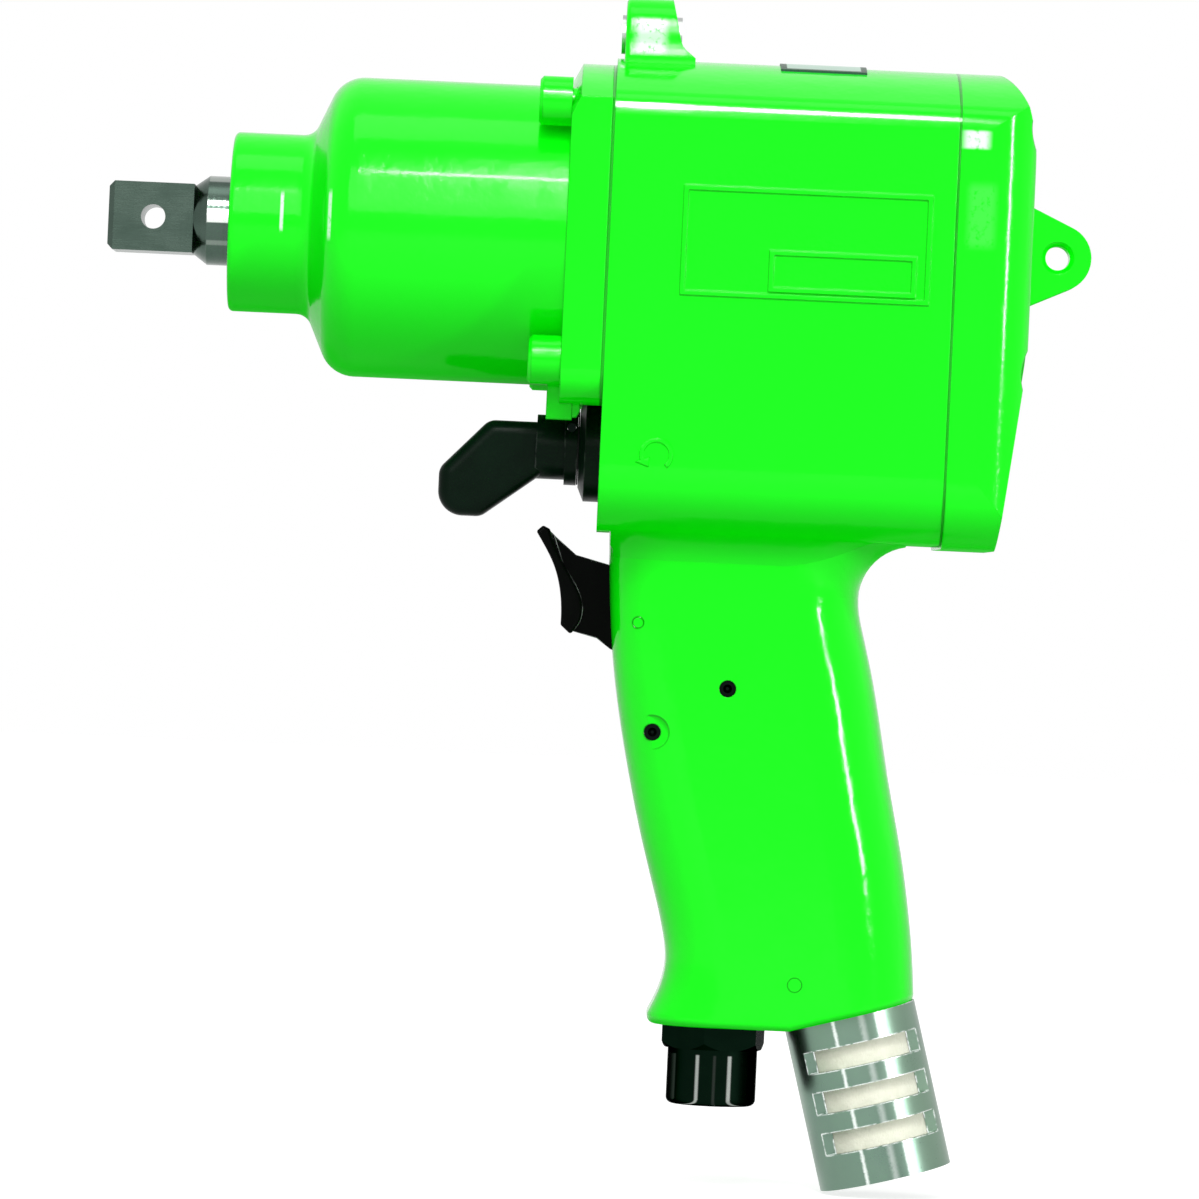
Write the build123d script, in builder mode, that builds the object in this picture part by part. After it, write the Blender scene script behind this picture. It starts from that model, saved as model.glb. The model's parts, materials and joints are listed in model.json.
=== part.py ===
from build123d import *

import os
from math import acos, cos, degrees, radians, sin, sqrt, tan

os.makedirs("parts", exist_ok=True)

# Pistol-grip air impact wrench with a 1/2 in square drive, in millimetres.
# The origin is the centre of the square drive's front face. The drive axis is the X axis, +X runs
# to the rear of the tool and +Z is up. Stations along the drive axis are X values.

# Radial clearances and the gaps between bodies that move past each other
running_fit = 0.05
seat_fit = 0.05
moving_gap = 0.35
journal_gap = 1.05
wide_gap = 1.4

# Cuts, and pieces joined to each other, run past the surfaces that they meet by this much
overshoot = 1.0

# Square drive and anvil
square_side = 12.7
square_length = 15.7
square_chamfer = 1.0
drive_cone_length = 2.6
pin_hole_radius = 2.25
pin_hole_setback = 8.3
shank_radius = 8.25
anvil_collar_radius = 12.1
anvil_core_radius = 9.3
anvil_lobe_radius = 12.0
anvil_lobe_width = 8.5
anvil_lobe_angle = -56.5
anvil_pilot_radius = 5.0
anvil_pilot_length = 4.5

# Hammer case
case_front = 22.6
case_length = 69.55
case_radius = 27.7
case_bore_radius = 24.6
nose_radius = 16.6
nose_length = 14.6
nose_edge_radius = 1.0
nose_lip = 1.5
shoulder_length = 4.9
shoulder_inner_radius = 3.0
shoulder_outer_radius = 6.5
seal_width = 2.0
nose_bushing_radius = 11.5
nose_bushing_length = 17.9
nose_bushing_relief = 3.0
nose_bushing_chamfer = 0.4
spigot_length = 1.25
flange_thickness = 7.35
flange_top = 32.0
flange_bottom = -31.2
flange_bevel = 1.6
flange_corner = 6.0
lever_stop_width = 4.5
lever_stop_thickness = 2.4
lever_stop_drop = 3.0
lever_stop_spacing = 25.0

# Case bolts and cover screws
bolt_radius = 2.5
bolt_head_radius = 4.5
bolt_head_height = 6.0
bolt_head_chamfer = 0.6
bolt_socket_radius = 2.3
bolt_socket_depth = 3.0
bolt_thread_length = 15.0
bolt_spacing = 47.2
screw_spacing = 45.2
screw_radius = 2.5
screw_head_radius = 4.3
screw_head_height = 4.8
screw_thread_length = 14.0
screw_pocket_radius = 5.4
screw_pocket_depth = 8.2

# Motor housing head
case_gasket_thickness = 0.5
head_length = 62.6
head_half_width = 32.0
head_top = 33.3
head_crease = 24.3
head_crease_radius = 5.0
head_bottom = -54.3
head_corner = 12.0

# Top lug with its hanger bush
lug_front_setback = 1.3
lug_length = 10.4
lug_top = 44.4
lug_half_width = 11.0
lug_foot_half_width = 19.5
lug_foot_sink = 1.6
lug_foot_rise = 3.0
lug_foot_radius = 7.0
lug_crown_radius = 7.0
lug_rear_taper = 1.9
lug_flare_reach = 2.6
lug_flare_height = 2.2
lug_flare_radius = 3.5
lug_edge_radius = 0.9
hanger_bush_height = 37.9
hanger_bush_radius = 3.6
hanger_bush_bore = 2.6
hanger_bush_stand_out = 0.7

# Cast panel frame on the left side of the head
panel_setback = 13.1
panel_length = 45.3
panel_height = 20.0
panel_centre_height = -1.0
panel_bead = 0.9
panel_relief = 0.5
panel_row_setback = 16.0
panel_row_length = 26.8
panel_row_height = 7.6
panel_row_drop = 5.0

# Bare plate on the roof of the head
plate_setback = 30.05
plate_length = 15.8
plate_half_width = 15.0
plate_thickness = 0.4

# Rear cover and its ear. Its crown is drawn from the cover's rear face.
rear_gasket_thickness = 0.4
rear_gasket_land = 2.0
cover_depth = 14.05
cover_bottom_step = 0.6
cover_crown_line = [(-8.1, 34.6), (-4.5, 31.1), (-1.7, 25.8), (-0.4, 20.5), (0.0, 13.0)]
cover_crown_ends = [(1, -0.75), (0, -1)]
cover_corner_radius = 9.0
cover_corner_step = 0.4
cover_taper_start = -20.0
cover_taper_angle = 7.0
cover_bend_radius = 40.0
cover_recess_radius = 23.0
cover_recess_depth = 4.0
ear_reach = 12.1
ear_tip_radius = 6.2
ear_root_half_height = 10.0
ear_thickness = 7.0
ear_root_radius = 2.0
ear_hole_radius = 2.25
ear_hole_chamfer = 0.75

# Grip, drawn from the lower front corner of the head: distances behind it, and heights
grip_half_width = 17.5
grip_front_line = [
    (2.35, 4.3),
    (2.65, -6.0),
    (4.15, -23.9),
    (7.75, -43.5),
    (11.65, -59.1),
    (15.65, -73.7),
    (16.25, -78.7),
    (15.25, -83.9),
    (12.35, -90.2),
]
grip_front_ends = [(0, -1), (-0.5, -1)]
grip_rear_line = [
    (49.95, -16.3),
    (51.95, -23.9),
    (55.95, -43.5),
    (59.35, -59.1),
    (61.75, -74.8),
]
grip_rear_ends = [(0, -1), (0.08, -1)]
grip_heel = 62.55
grip_neck_centre = (58.95, -10.3)
grip_neck_radius = 10.0
grip_neck_setback = 5.39
grip_neck_lean = 0.64
grip_neck_top = 4.3
grip_front_corner = 11.0
grip_rear_corner = 14.0
grip_length = 90.2
grip_slope_start = 39.35
grip_bottom_edge = 1.5
neck_flare_radius = 7.0
neck_flare_bite = 0.5
neck_flare_sink = 0.05

# Air motor
end_plate_thickness = 9.0
end_play = 0.3
motor_radius = 27.0
cylinder_bore_radius = 22.2
cylinder_offset = -1.9
rotor_radius = 20.0
rotor_journal_radius = 6.0
vane_count = 6
vane_thickness = 1.9
vane_slot_depth = 9.0
vane_slot_play = 0.1
dowel_radius = 1.5
exhaust_slot_width = 3.0
exhaust_slot_count = 5
exhaust_slot_length = 22.0

# Motor bearings
bearing_outer_radius = 14.0
bearing_width = 8.0
bearing_ball_radius = 2.2
bearing_ball_count = 7
bearing_ball_play = 0.08

# Hammer mechanism
hammer_cage_radius = 23.9
cage_front_clearance = 0.6
cage_front_plate = 5.4
cage_rear_plate = 6.0
cage_hub_radius = 10.5
cage_hub_length = 5.0
cage_hub_clearance = 1.1
cage_strut_height = 18.0
cage_strut_inner = 19.9
hammer_radius = 21.2
hammer_half_width = 17.4
hammer_bore_radius = 13.6
hammer_jaw_reach = 11.6
hammer_jaw_width = 8.5
hammer_pin_radius = 3.0
hammer_pin_offset = 19.2
hammer_swing = 4.0
hammer_pin_setback = 1.8
spline_count = 8
spline_root_radius = 5.0
spline_tip_radius = 5.9
spline_width = 2.0

# Trigger and throttle, along a line that slopes down to the rear. Its start is measured from the
# lower front corner of the head, and the trigger's outline from that start.
slide_angle = 14.0
slide_setback = 2.65
slide_drop = 12.9
trigger_travel = 3.4
trigger_front_line = [(-16.3, 8.7), (-13.7, 6.2), (-11.4, 3.6), (-9.3, 0.1), (-8.0, -3.2), (-7.1, -6.6)]
trigger_tip = (-15.4, 10.1)
trigger_back_line = [(-14.0, 9.8), (-12.1, 7.0), (-8.4, 3.0), (-4.8, -1.0), (-3.9, -5.1)]
trigger_toe = (-4.8, -7.8)
trigger_blade_width = 16.0
trigger_blade_corner = 0.5
trigger_blade_edge = 0.7
trigger_stem_width = 13.0
trigger_stem_top = 6.6
trigger_stem_bottom = -7.1
trigger_stem_depth = 10.3
trigger_web_top = (-13.0, 9.0)
trigger_web_end = -8.0
trigger_web_root = (-7.0, 0.0)
trigger_lip_start = 0.0
trigger_lip_length = 3.0
trigger_lip_drop = 1.2
guide_pin_radius = 1.0
guide_pin_depth = 6.5
guide_pin_drop = 2.1
valve_rod_seat = 1.4
valve_rod_radius = 2.0
valve_head_radius = 4.9
valve_head_thickness = 2.0
throttle_bushing_radius = 7.9
throttle_bushing_length = 18.0
throttle_guide_length = 6.0
throttle_chamber_radius = 6.2
throttle_spring_radius = 5.4
throttle_spring_wall = 1.2
throttle_pin_drop = 9.06
throttle_pin_depth = 25.65
lower_pin_depth = 14.7
lower_pin_drop = 20.6
roll_pin_radius = 1.5
roll_pin_bore = 0.8
roll_pin_inset = 1.7
spot_face_radius = 3.1
air_passage_radius = 3.6

# Reversing valve, collar and lever
reverse_height = -39.1
reverse_bushing_radius = 8.0
reverse_bushing_length = 28.0
reverse_valve_radius = 6.2
reverse_stem_radius = 4.0
reverse_port_radius = 2.5
collar_radius = 9.8
collar_thickness = 2.8
collar_cone_length = 1.1
collar_scallop_clearance = 0.35
lever_ring_radius = 6.9
lever_ring_length = 2.6
lever_hub_radius = 5.95
lever_hub_length = 5.3
lever_stem_cover = 2.0
lever_reach = 17.8
lever_drop = 13.4
lever_arm_top = 4.5
lever_bend_reach = 8.9
lever_toe_drop = 4.8
lever_heel_reach = 9.8
lever_bend_radius = 3.0
lever_toe_radius = 4.5
lever_arm_thickness = 9.0
lever_edge_radius = 2.4
lever_pin_radius = 0.8
lever_pin_height = 3.7
lever_swing = 45.0
detent_ball_radius = 1.5
detent_offset = 3.8
detent_depth = 0.6
detent_pocket_radius = 0.9
detent_pocket_depth = 1.2
detent_spring_length = 6.0
detent_spring_bore = 0.75

# Air inlet
inlet_setback = 25.85
inlet_thread_radius = 8.3
inlet_thread_length = 14.0
inlet_hex_across_flats = 17.6
inlet_hex_length = 4.5
inlet_hex_turn = 10.0
inlet_body_radius = 8.3
inlet_body_length = 10.4
inlet_port_radius = 5.7
inlet_port_depth = 12.0
inlet_bore_radius = 3.6
inlet_edge = 1.2
screen_depth = 4.0
screen_wall = 0.6
seal_ring_radius = 0.9

# Exhaust muffler
muffler_angle = 15.1
muffler_setback = 50.85
muffler_radius = 12.3
muffler_wall = 1.7
muffler_length = 30.9
muffler_top_band = 5.0
muffler_slot_height = 4.1
muffler_slot_pitch = 7.65
muffler_slot_count = 3
muffler_web_half_width = 6.1
muffler_roof = 2.4
muffler_turn = -6.0
muffler_neck_radius = 9.6
muffler_neck_bore = 6.5
muffler_neck_length = 12.0
muffler_cap_thickness = 2.0
muffler_cap_inset = 2.6
muffler_pin_radius = 1.3
muffler_pin_offset = 9.0
muffler_pin_height = 8.13
snap_ring_thickness = 1.0
snap_ring_width = 1.6
exhaust_passage_radius = 5.5
exhaust_passage_setback = 41.35
exhaust_passage_rise = 4.3

# Stations along the drive axis
shank_start = square_length + drive_cone_length
bushing_front = case_front + nose_lip + seal_width
bushing_rear = bushing_front + nose_bushing_length
hammer_room_front = bushing_rear + nose_bushing_relief
case_rear = case_front + case_length
flange_front = case_rear - flange_thickness
head_front = case_rear + case_gasket_thickness
head_rear = head_front + head_length
cover_front = head_rear + rear_gasket_thickness
cover_rear = cover_front + cover_depth
front_plate_front = case_rear + spigot_length
cylinder_front = front_plate_front + end_plate_thickness
rear_plate_front = head_rear - end_plate_thickness
cylinder_rear = rear_plate_front
cage_front = hammer_room_front + cage_front_clearance
hammer_bay_front = cage_front + cage_front_plate
hub_rear = case_rear - cage_hub_clearance
cage_rear = hub_rear - cage_hub_length
hammer_bay_rear = cage_rear - cage_rear_plate
hammer_thickness = (hammer_bay_rear - hammer_bay_front - 3 * moving_gap) / 2
front_hammer_front = hammer_bay_front + moving_gap
rear_hammer_front = front_hammer_front + hammer_thickness + moving_gap
anvil_collar_rear = hammer_bay_front - running_fit
anvil_core_rear = hammer_bay_rear - running_fit
motor_bore_radius = motor_radius + seat_fit
bearing_inner_radius = rotor_journal_radius
roof_rise = head_top - head_crease
roof_radius = (head_half_width**2 + roof_rise**2) / (2 * roof_rise)
roof_centre = head_top - roof_radius
lug_foot_height = roof_centre + sqrt(roof_radius**2 - lug_foot_half_width**2) - lug_foot_sink
grip_bottom = head_bottom - grip_length
slide_start = (head_front + slide_setback, 0, head_bottom - slide_drop)
inlet_x = head_front + inlet_setback
muffler_x = head_front + muffler_setback
exhaust_passage_top = (head_front + exhaust_passage_setback, 0, head_bottom + exhaust_passage_rise)
collar_front = head_front - collar_thickness
ring_rear = collar_front - collar_cone_length
ring_front = ring_rear - lever_ring_length
lever_hub_front = ring_front - lever_hub_length

# Planes
slide_direction = Vector(cos(radians(slide_angle)), 0, -sin(radians(slide_angle)))
trigger_side = Plane(origin=slide_start, x_dir=slide_direction, z_dir=(0, -1, 0))
slide = Plane(origin=slide_start, x_dir=(0, 1, 0), z_dir=slide_direction)
seat_rise = (muffler_setback - grip_slope_start) * tan(radians(muffler_angle))
muffler_seat = (muffler_x, 0, grip_bottom + seat_rise)
muffler_down = Vector(sin(radians(muffler_angle)), 0, -cos(radians(muffler_angle)))
muffler = Plane(origin=muffler_seat, x_dir=(0, 1, 0), z_dir=muffler_down)
muffler_side = Plane(origin=muffler_seat, x_dir=muffler_down, z_dir=(0, -1, 0))
reverse_face = Plane(origin=(head_front, 0, reverse_height), x_dir=(0, 1, 0), z_dir=(1, 0, 0))
inlet_seat = Plane(origin=(inlet_x, 0, grip_bottom), x_dir=(0, 1, 0), z_dir=(0, 0, -1))
grip_side = Plane(origin=(head_front, grip_half_width, head_bottom), x_dir=(1, 0, 0), z_dir=(0, -1, 0))


def save(piece, name):
    """Label a finished piece and write its STEP file."""
    piece.part.label = name
    export_step(piece.part, f"parts/{name}.step")


def arched_outline(top, crease, bottom, corner):
    """Arched top, flat sides and rounded lower corners, as seen along the drive axis."""
    with BuildSketch() as outline:
        with BuildLine():
            arch = ThreePointArc((-head_half_width, crease), (0, top), (head_half_width, crease))
            FilletPolyline(
                arch @ 1,
                (head_half_width, bottom),
                (-head_half_width, bottom),
                arch @ 0,
                radius=[corner, corner],
            )
        make_face()
    return outline.sketch


def head_outline(bottom):
    """The head's outline, with its creases softened."""
    with BuildSketch() as outline:
        add(arched_outline(head_top, head_crease, bottom, head_corner))
        fillet(outline.vertices().sort_by(Axis.Y)[-2:], head_crease_radius)
    return outline.sketch


def bolt_places(x, spacing):
    """The four corner positions around the drive axis at station x."""
    return [
        Plane.YZ.offset(x).location * Location((side_y * spacing / 2, side_z * spacing / 2, 0))
        for side_y in (-1, 1)
        for side_z in (-1, 1)
    ]


# Anvil: square drive, shank, thrust collar, one impact lobe for each hammer and a rear pilot
with BuildPart() as anvil:
    with BuildSketch(Plane.YZ):
        Rectangle(square_side, square_side)
    extrude(amount=square_length)
    chamfer(anvil.faces().sort_by(Axis.X)[0].edges(), length=square_chamfer)
    with BuildSketch(Plane.YZ.offset(square_length)):
        Circle(square_side / 2)
    with BuildSketch(Plane.YZ.offset(shank_start)):
        Circle(shank_radius)
    loft()
    with BuildSketch(Plane.XZ):
        with BuildLine():
            Polyline(
                (shank_start, 0),
                (shank_start, shank_radius),
                (bushing_rear + moving_gap, shank_radius),
                (bushing_rear + moving_gap, anvil_collar_radius),
                (anvil_collar_rear, anvil_collar_radius),
                (anvil_collar_rear, anvil_core_radius),
                (anvil_core_rear, anvil_core_radius),
                (anvil_core_rear, anvil_pilot_radius),
                (anvil_core_rear + anvil_pilot_length, anvil_pilot_radius),
                (anvil_core_rear + anvil_pilot_length, 0),
                close=True,
            )
        make_face()
    revolve(axis=Axis.X)
    for front, turn in ((front_hammer_front, 0), (rear_hammer_front, 180)):
        with BuildSketch(Plane.YZ.offset(front)):
            Circle(anvil_lobe_radius)
            with PolarLocations(anvil_lobe_radius, 1, start_angle=anvil_lobe_angle + turn):
                Rectangle(2 * anvil_lobe_radius, anvil_lobe_width, mode=Mode.INTERSECT)
        extrude(amount=hammer_thickness)
    with Locations(Plane.XZ.location * Location((pin_hole_setback, 0, 0))):
        Hole(pin_hole_radius, depth=square_side)
save(anvil, "anvil")

# Hammer case: turned nose, rounded shoulder and barrel, with a bolted flange
with BuildPart() as hammer_case:
    with BuildSketch(Plane.XZ):
        with BuildLine():
            outside = FilletPolyline(
                (case_front, 0),
                (case_front, nose_radius),
                (case_front + nose_length, nose_radius),
                (case_front + nose_length + shoulder_length, case_radius),
                (case_rear, case_radius),
                radius=[nose_edge_radius, shoulder_inner_radius, shoulder_outer_radius],
            )
            Polyline(outside @ 1, (case_rear, 0), outside @ 0)
        make_face()
    revolve(axis=Axis.X)
    with BuildSketch(Plane.YZ.offset(flange_front)):
        add(arched_outline(flange_top, head_crease, flange_bottom, flange_corner))
    extrude(amount=flange_thickness)
    chamfer(
        hammer_case.edges()
        .filter_by(GeomType.CIRCLE)
        .filter_by(lambda edge: edge.radius > head_half_width)
        .sort_by(Axis.X)[0],
        length=flange_bevel,
        length2=2 * flange_bevel,
    )
    with BuildSketch(Plane.YZ.offset(flange_front)):
        with Locations((0, flange_bottom + lever_stop_thickness)):
            with GridLocations(lever_stop_spacing, 0, 2, 1):
                Rectangle(lever_stop_width, 2 * (lever_stop_drop + lever_stop_thickness))
    extrude(amount=lever_stop_thickness, both=True)
    with BuildSketch(Plane.YZ.offset(case_rear)):
        Circle(motor_radius)
    extrude(amount=spigot_length)
    with BuildSketch(Plane.XZ):
        with BuildLine():
            Polyline(
                (case_front, 0),
                (case_front, shank_radius + moving_gap),
                (case_front + nose_lip, shank_radius + moving_gap),
                (case_front + nose_lip, nose_bushing_radius + seat_fit),
                (bushing_rear, nose_bushing_radius + seat_fit),
                (bushing_rear, anvil_collar_radius + wide_gap),
                (hammer_room_front, anvil_collar_radius + wide_gap),
                (hammer_room_front, case_bore_radius),
                (front_plate_front, case_bore_radius),
                (front_plate_front, 0),
                close=True,
            )
        make_face()
    revolve(axis=Axis.X, mode=Mode.SUBTRACT)
    with Locations(bolt_places(flange_front, bolt_spacing)):
        Cylinder(
            bolt_radius + seat_fit,
            2 * flange_thickness,
            align=(Align.CENTER, Align.CENTER, Align.CENTER),
            mode=Mode.SUBTRACT,
        )
    with BuildSketch(reverse_face.offset(-flange_thickness - 2 * overshoot)):
        Circle(collar_radius + collar_scallop_clearance)
    extrude(amount=flange_thickness + 3 * overshoot, mode=Mode.SUBTRACT)
save(hammer_case, "hammer_case")

with BuildPart() as nose_bushing:
    with BuildSketch(Plane.YZ.offset(bushing_front)):
        Circle(nose_bushing_radius)
        Circle(shank_radius + running_fit, mode=Mode.SUBTRACT)
    extrude(amount=nose_bushing_length)
    chamfer(nose_bushing.edges().filter_by(GeomType.CIRCLE), length=nose_bushing_chamfer)
save(nose_bushing, "nose_bushing")

with BuildPart() as nose_seal:
    with BuildSketch(Plane.YZ.offset(case_front + nose_lip)):
        Circle(nose_bushing_radius)
        Circle(shank_radius + running_fit, mode=Mode.SUBTRACT)
    extrude(amount=seal_width)
save(nose_seal, "nose_seal")

with BuildPart() as case_gasket:
    with BuildSketch(Plane.YZ.offset(case_rear)):
        add(arched_outline(flange_top, head_crease, flange_bottom, flange_corner))
        Circle(motor_bore_radius, mode=Mode.SUBTRACT)
        with GridLocations(bolt_spacing, bolt_spacing, 2, 2):
            Circle(bolt_radius + seat_fit, mode=Mode.SUBTRACT)
        with Locations((0, reverse_height)):
            Circle(collar_radius + collar_scallop_clearance, mode=Mode.SUBTRACT)
    extrude(amount=case_gasket_thickness)
save(case_gasket, "case_gasket")

with BuildPart() as case_bolts:
    with BuildSketch(Plane.YZ.offset(flange_front - bolt_head_height)):
        with GridLocations(bolt_spacing, bolt_spacing, 2, 2):
            Circle(bolt_head_radius)
            RegularPolygon(bolt_socket_radius, 6, mode=Mode.SUBTRACT)
    extrude(amount=bolt_socket_depth)
    with BuildSketch(Plane.YZ.offset(flange_front - bolt_head_height + bolt_socket_depth)):
        with GridLocations(bolt_spacing, bolt_spacing, 2, 2):
            Circle(bolt_head_radius)
    extrude(amount=bolt_head_height - bolt_socket_depth)
    with BuildSketch(Plane.YZ.offset(flange_front)):
        with GridLocations(bolt_spacing, bolt_spacing, 2, 2):
            Circle(bolt_radius)
    extrude(amount=flange_thickness + bolt_thread_length)
    chamfer(
        case_bolts.edges()
        .filter_by(GeomType.CIRCLE)
        .filter_by(lambda edge: edge.radius > bolt_radius)
        .group_by(Axis.X)[0],
        length=bolt_head_chamfer,
    )
save(case_bolts, "case_bolts")


# Grip: a side outline with a flared toe and a hollow neck, with large rounded corners
heel_rise = (grip_heel - grip_slope_start) * tan(radians(muffler_angle))
neck_end = head_length - grip_neck_setback
neck_end_angle = degrees(acos((neck_end - grip_neck_centre[0]) / grip_neck_radius))
with BuildPart() as grip:
    with BuildSketch(grip_side):
        with BuildLine():
            front_line = Spline(*grip_front_line, tangents=grip_front_ends)
            neck = CenterArc(
                grip_neck_centre,
                grip_neck_radius,
                start_angle=neck_end_angle,
                arc_size=180 - neck_end_angle,
            )
            rear_line = Spline(
                neck @ 1,
                *grip_rear_line,
                (grip_heel, heel_rise - grip_length),
                tangents=grip_rear_ends,
            )
            Polyline(
                front_line @ 1,
                (grip_slope_start, -grip_length),
                rear_line @ 1,
            )
            Polyline(neck @ 0, (neck_end + grip_neck_lean, grip_neck_top), front_line @ 0)
        make_face()
    extrude(amount=2 * grip_half_width)
    corners = grip.edges().filter_by(lambda edge: abs(edge.center().Y) > grip_half_width - seat_fit)
    long_lines = corners.filter_by(GeomType.BSPLINE).sort_by(Axis.X)
    fillet(long_lines[:2], grip_front_corner)
    corners = grip.edges().filter_by(lambda edge: abs(edge.center().Y) > grip_half_width - seat_fit)
    neck_front = head_front + grip_neck_centre[0] - grip_neck_radius
    rear_corners = corners.filter_by(lambda edge: edge.center().X > neck_front)
    fillet(rear_corners.filter_by(GeomType.LINE, reverse=True), grip_rear_corner)
    under = grip.faces().filter_by(lambda face: face.normal_at().Z < -0.9)
    ridge = under.edges().filter_by(Axis.Y).filter_by(
        lambda edge: abs(edge.center().X - head_front - grip_slope_start) < grip_bottom_edge
    )
    fillet(under.edges() - ridge, grip_bottom_edge)

# Neck flare: a hollow sweep around the top of the grip, cut off level with the grip's front
flare_front = head_front + grip_front_line[1][0] + neck_flare_bite
flare_rear = neck_front - neck_flare_bite
flare_side = grip_half_width - neck_flare_bite
# The flare's hollow arc ends where it touches the rounded lower corner of the head
corner_inset = head_half_width - head_corner
arc_offset = grip_half_width + neck_flare_radius - corner_inset
arc_drop = sqrt((head_corner + neck_flare_radius) ** 2 - arc_offset**2) - head_corner
corner_share = head_corner / (head_corner + neck_flare_radius)
flare_reach = corner_inset + corner_share * arc_offset - flare_side
flare_rise = head_corner - corner_share * (head_corner + arc_drop) + neck_flare_sink
arc_centre = Vector(neck_flare_bite + neck_flare_radius, neck_flare_sink - arc_drop)
arc_turn = Vector(-cos(radians(45)), sin(radians(45))) * neck_flare_radius
flare_start = Plane(origin=(flare_front, 0, head_bottom), x_dir=(-1, 0, 0), z_dir=(0, 1, 0))
with BuildPart() as neck_flare:
    with BuildLine(Plane.XY.offset(head_bottom)) as rim:
        FilletPolyline(
            (flare_front, 0),
            (flare_front, flare_side),
            (flare_rear, flare_side),
            (flare_rear, 0),
            radius=[grip_front_corner - neck_flare_bite, grip_rear_corner - neck_flare_bite],
        )
    with BuildSketch(flare_start) as flare_section:
        with BuildLine():
            hollow = ThreePointArc(
                (neck_flare_bite / 2, arc_centre.Y),
                arc_centre + arc_turn,
                (flare_reach, flare_rise),
            )
            Polyline(
                hollow @ 1,
                (flare_reach, flare_rise + overshoot),
                (0, flare_rise + overshoot),
                (0, arc_centre.Y),
                hollow @ 0,
            )
        make_face()
    sweep(sections=flare_section.sketch, path=rim.line)
    mirror(about=Plane.XZ)
    with BuildSketch(Plane.YZ.offset(flare_front - neck_flare_bite)):
        Rectangle(4 * grip_half_width, -4 * head_bottom)
    extrude(amount=-2 * flare_reach, mode=Mode.SUBTRACT)

# Top lug: a foot that flares into the roof and a rounded crown, leaning in slightly at the rear
lug_front = head_front + lug_front_setback
lug_rear = lug_front + lug_length
with BuildPart() as top_lug:
    with BuildSketch(Plane.YZ.offset(lug_front)):
        with BuildLine():
            FilletPolyline(
                (lug_foot_half_width, lug_foot_height),
                (lug_half_width, lug_foot_height + lug_foot_rise),
                (lug_half_width, lug_top),
                (-lug_half_width, lug_top),
                (-lug_half_width, lug_foot_height + lug_foot_rise),
                (-lug_foot_half_width, lug_foot_height),
                radius=[lug_foot_radius, lug_crown_radius, lug_crown_radius, lug_foot_radius],
            )
            Line((-lug_foot_half_width, lug_foot_height), (lug_foot_half_width, lug_foot_height))
        make_face()
    extrude(amount=lug_length + lug_flare_reach)
    with BuildSketch(Plane.XZ):
        with BuildLine():
            lug_back = FilletPolyline(
                (lug_rear - lug_rear_taper, lug_top),
                (lug_rear, head_top + lug_flare_height),
                (lug_rear + lug_flare_reach, head_top),
                radius=[lug_flare_radius],
            )
            Polyline(
                lug_back @ 1,
                (lug_rear + lug_flare_reach, lug_foot_height),
                (lug_front, lug_foot_height),
                (lug_front, lug_top),
                lug_back @ 0,
            )
        make_face()
    extrude(amount=lug_foot_half_width, both=True, mode=Mode.INTERSECT)
    crown = top_lug.edges().filter_by(Axis.X, reverse=True).filter_by(
        lambda edge: edge.center().Z > head_top + lug_flare_radius
    )
    fillet(crown.filter_by(lambda edge: edge.center().X < lug_front + seat_fit), lug_edge_radius)


def rod_between(start, end, radius):
    """A round bar from one point to another, for drilled passages."""
    along = Vector(*end) - Vector(*start)
    with BuildPart(Plane(origin=start, z_dir=along)) as bar:
        Cylinder(radius, along.length, align=(Align.CENTER, Align.CENTER, Align.MIN))
    return bar.part


# Motor housing: head, top lug and grip in one casting
reverse_bore_rear = head_front + reverse_bushing_length
slot_depth = trigger_stem_depth + trigger_travel + moving_gap
trigger_slot_bottom = trigger_stem_bottom - trigger_lip_drop
pin_end = grip_half_width - roll_pin_inset
throttle_rear = slot_depth + throttle_bushing_length
chamber_end = throttle_rear + moving_gap
throttle_seat = slot_depth + throttle_guide_length
supply_port_depth = slot_depth + throttle_guide_length / 2
inlet_port_station = throttle_rear - air_passage_radius
inlet_top = (inlet_x, 0, grip_bottom + inlet_thread_length)
neck_top = muffler.offset(-muffler_neck_length).origin
valve_rear = reverse_bore_rear - moving_gap
ball_centre = valve_rear + detent_ball_radius - detent_depth
detent_bore_end = ball_centre + detent_ball_radius + detent_spring_length
dowel_height = (cylinder_offset + cylinder_bore_radius + motor_radius) / 2
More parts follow.
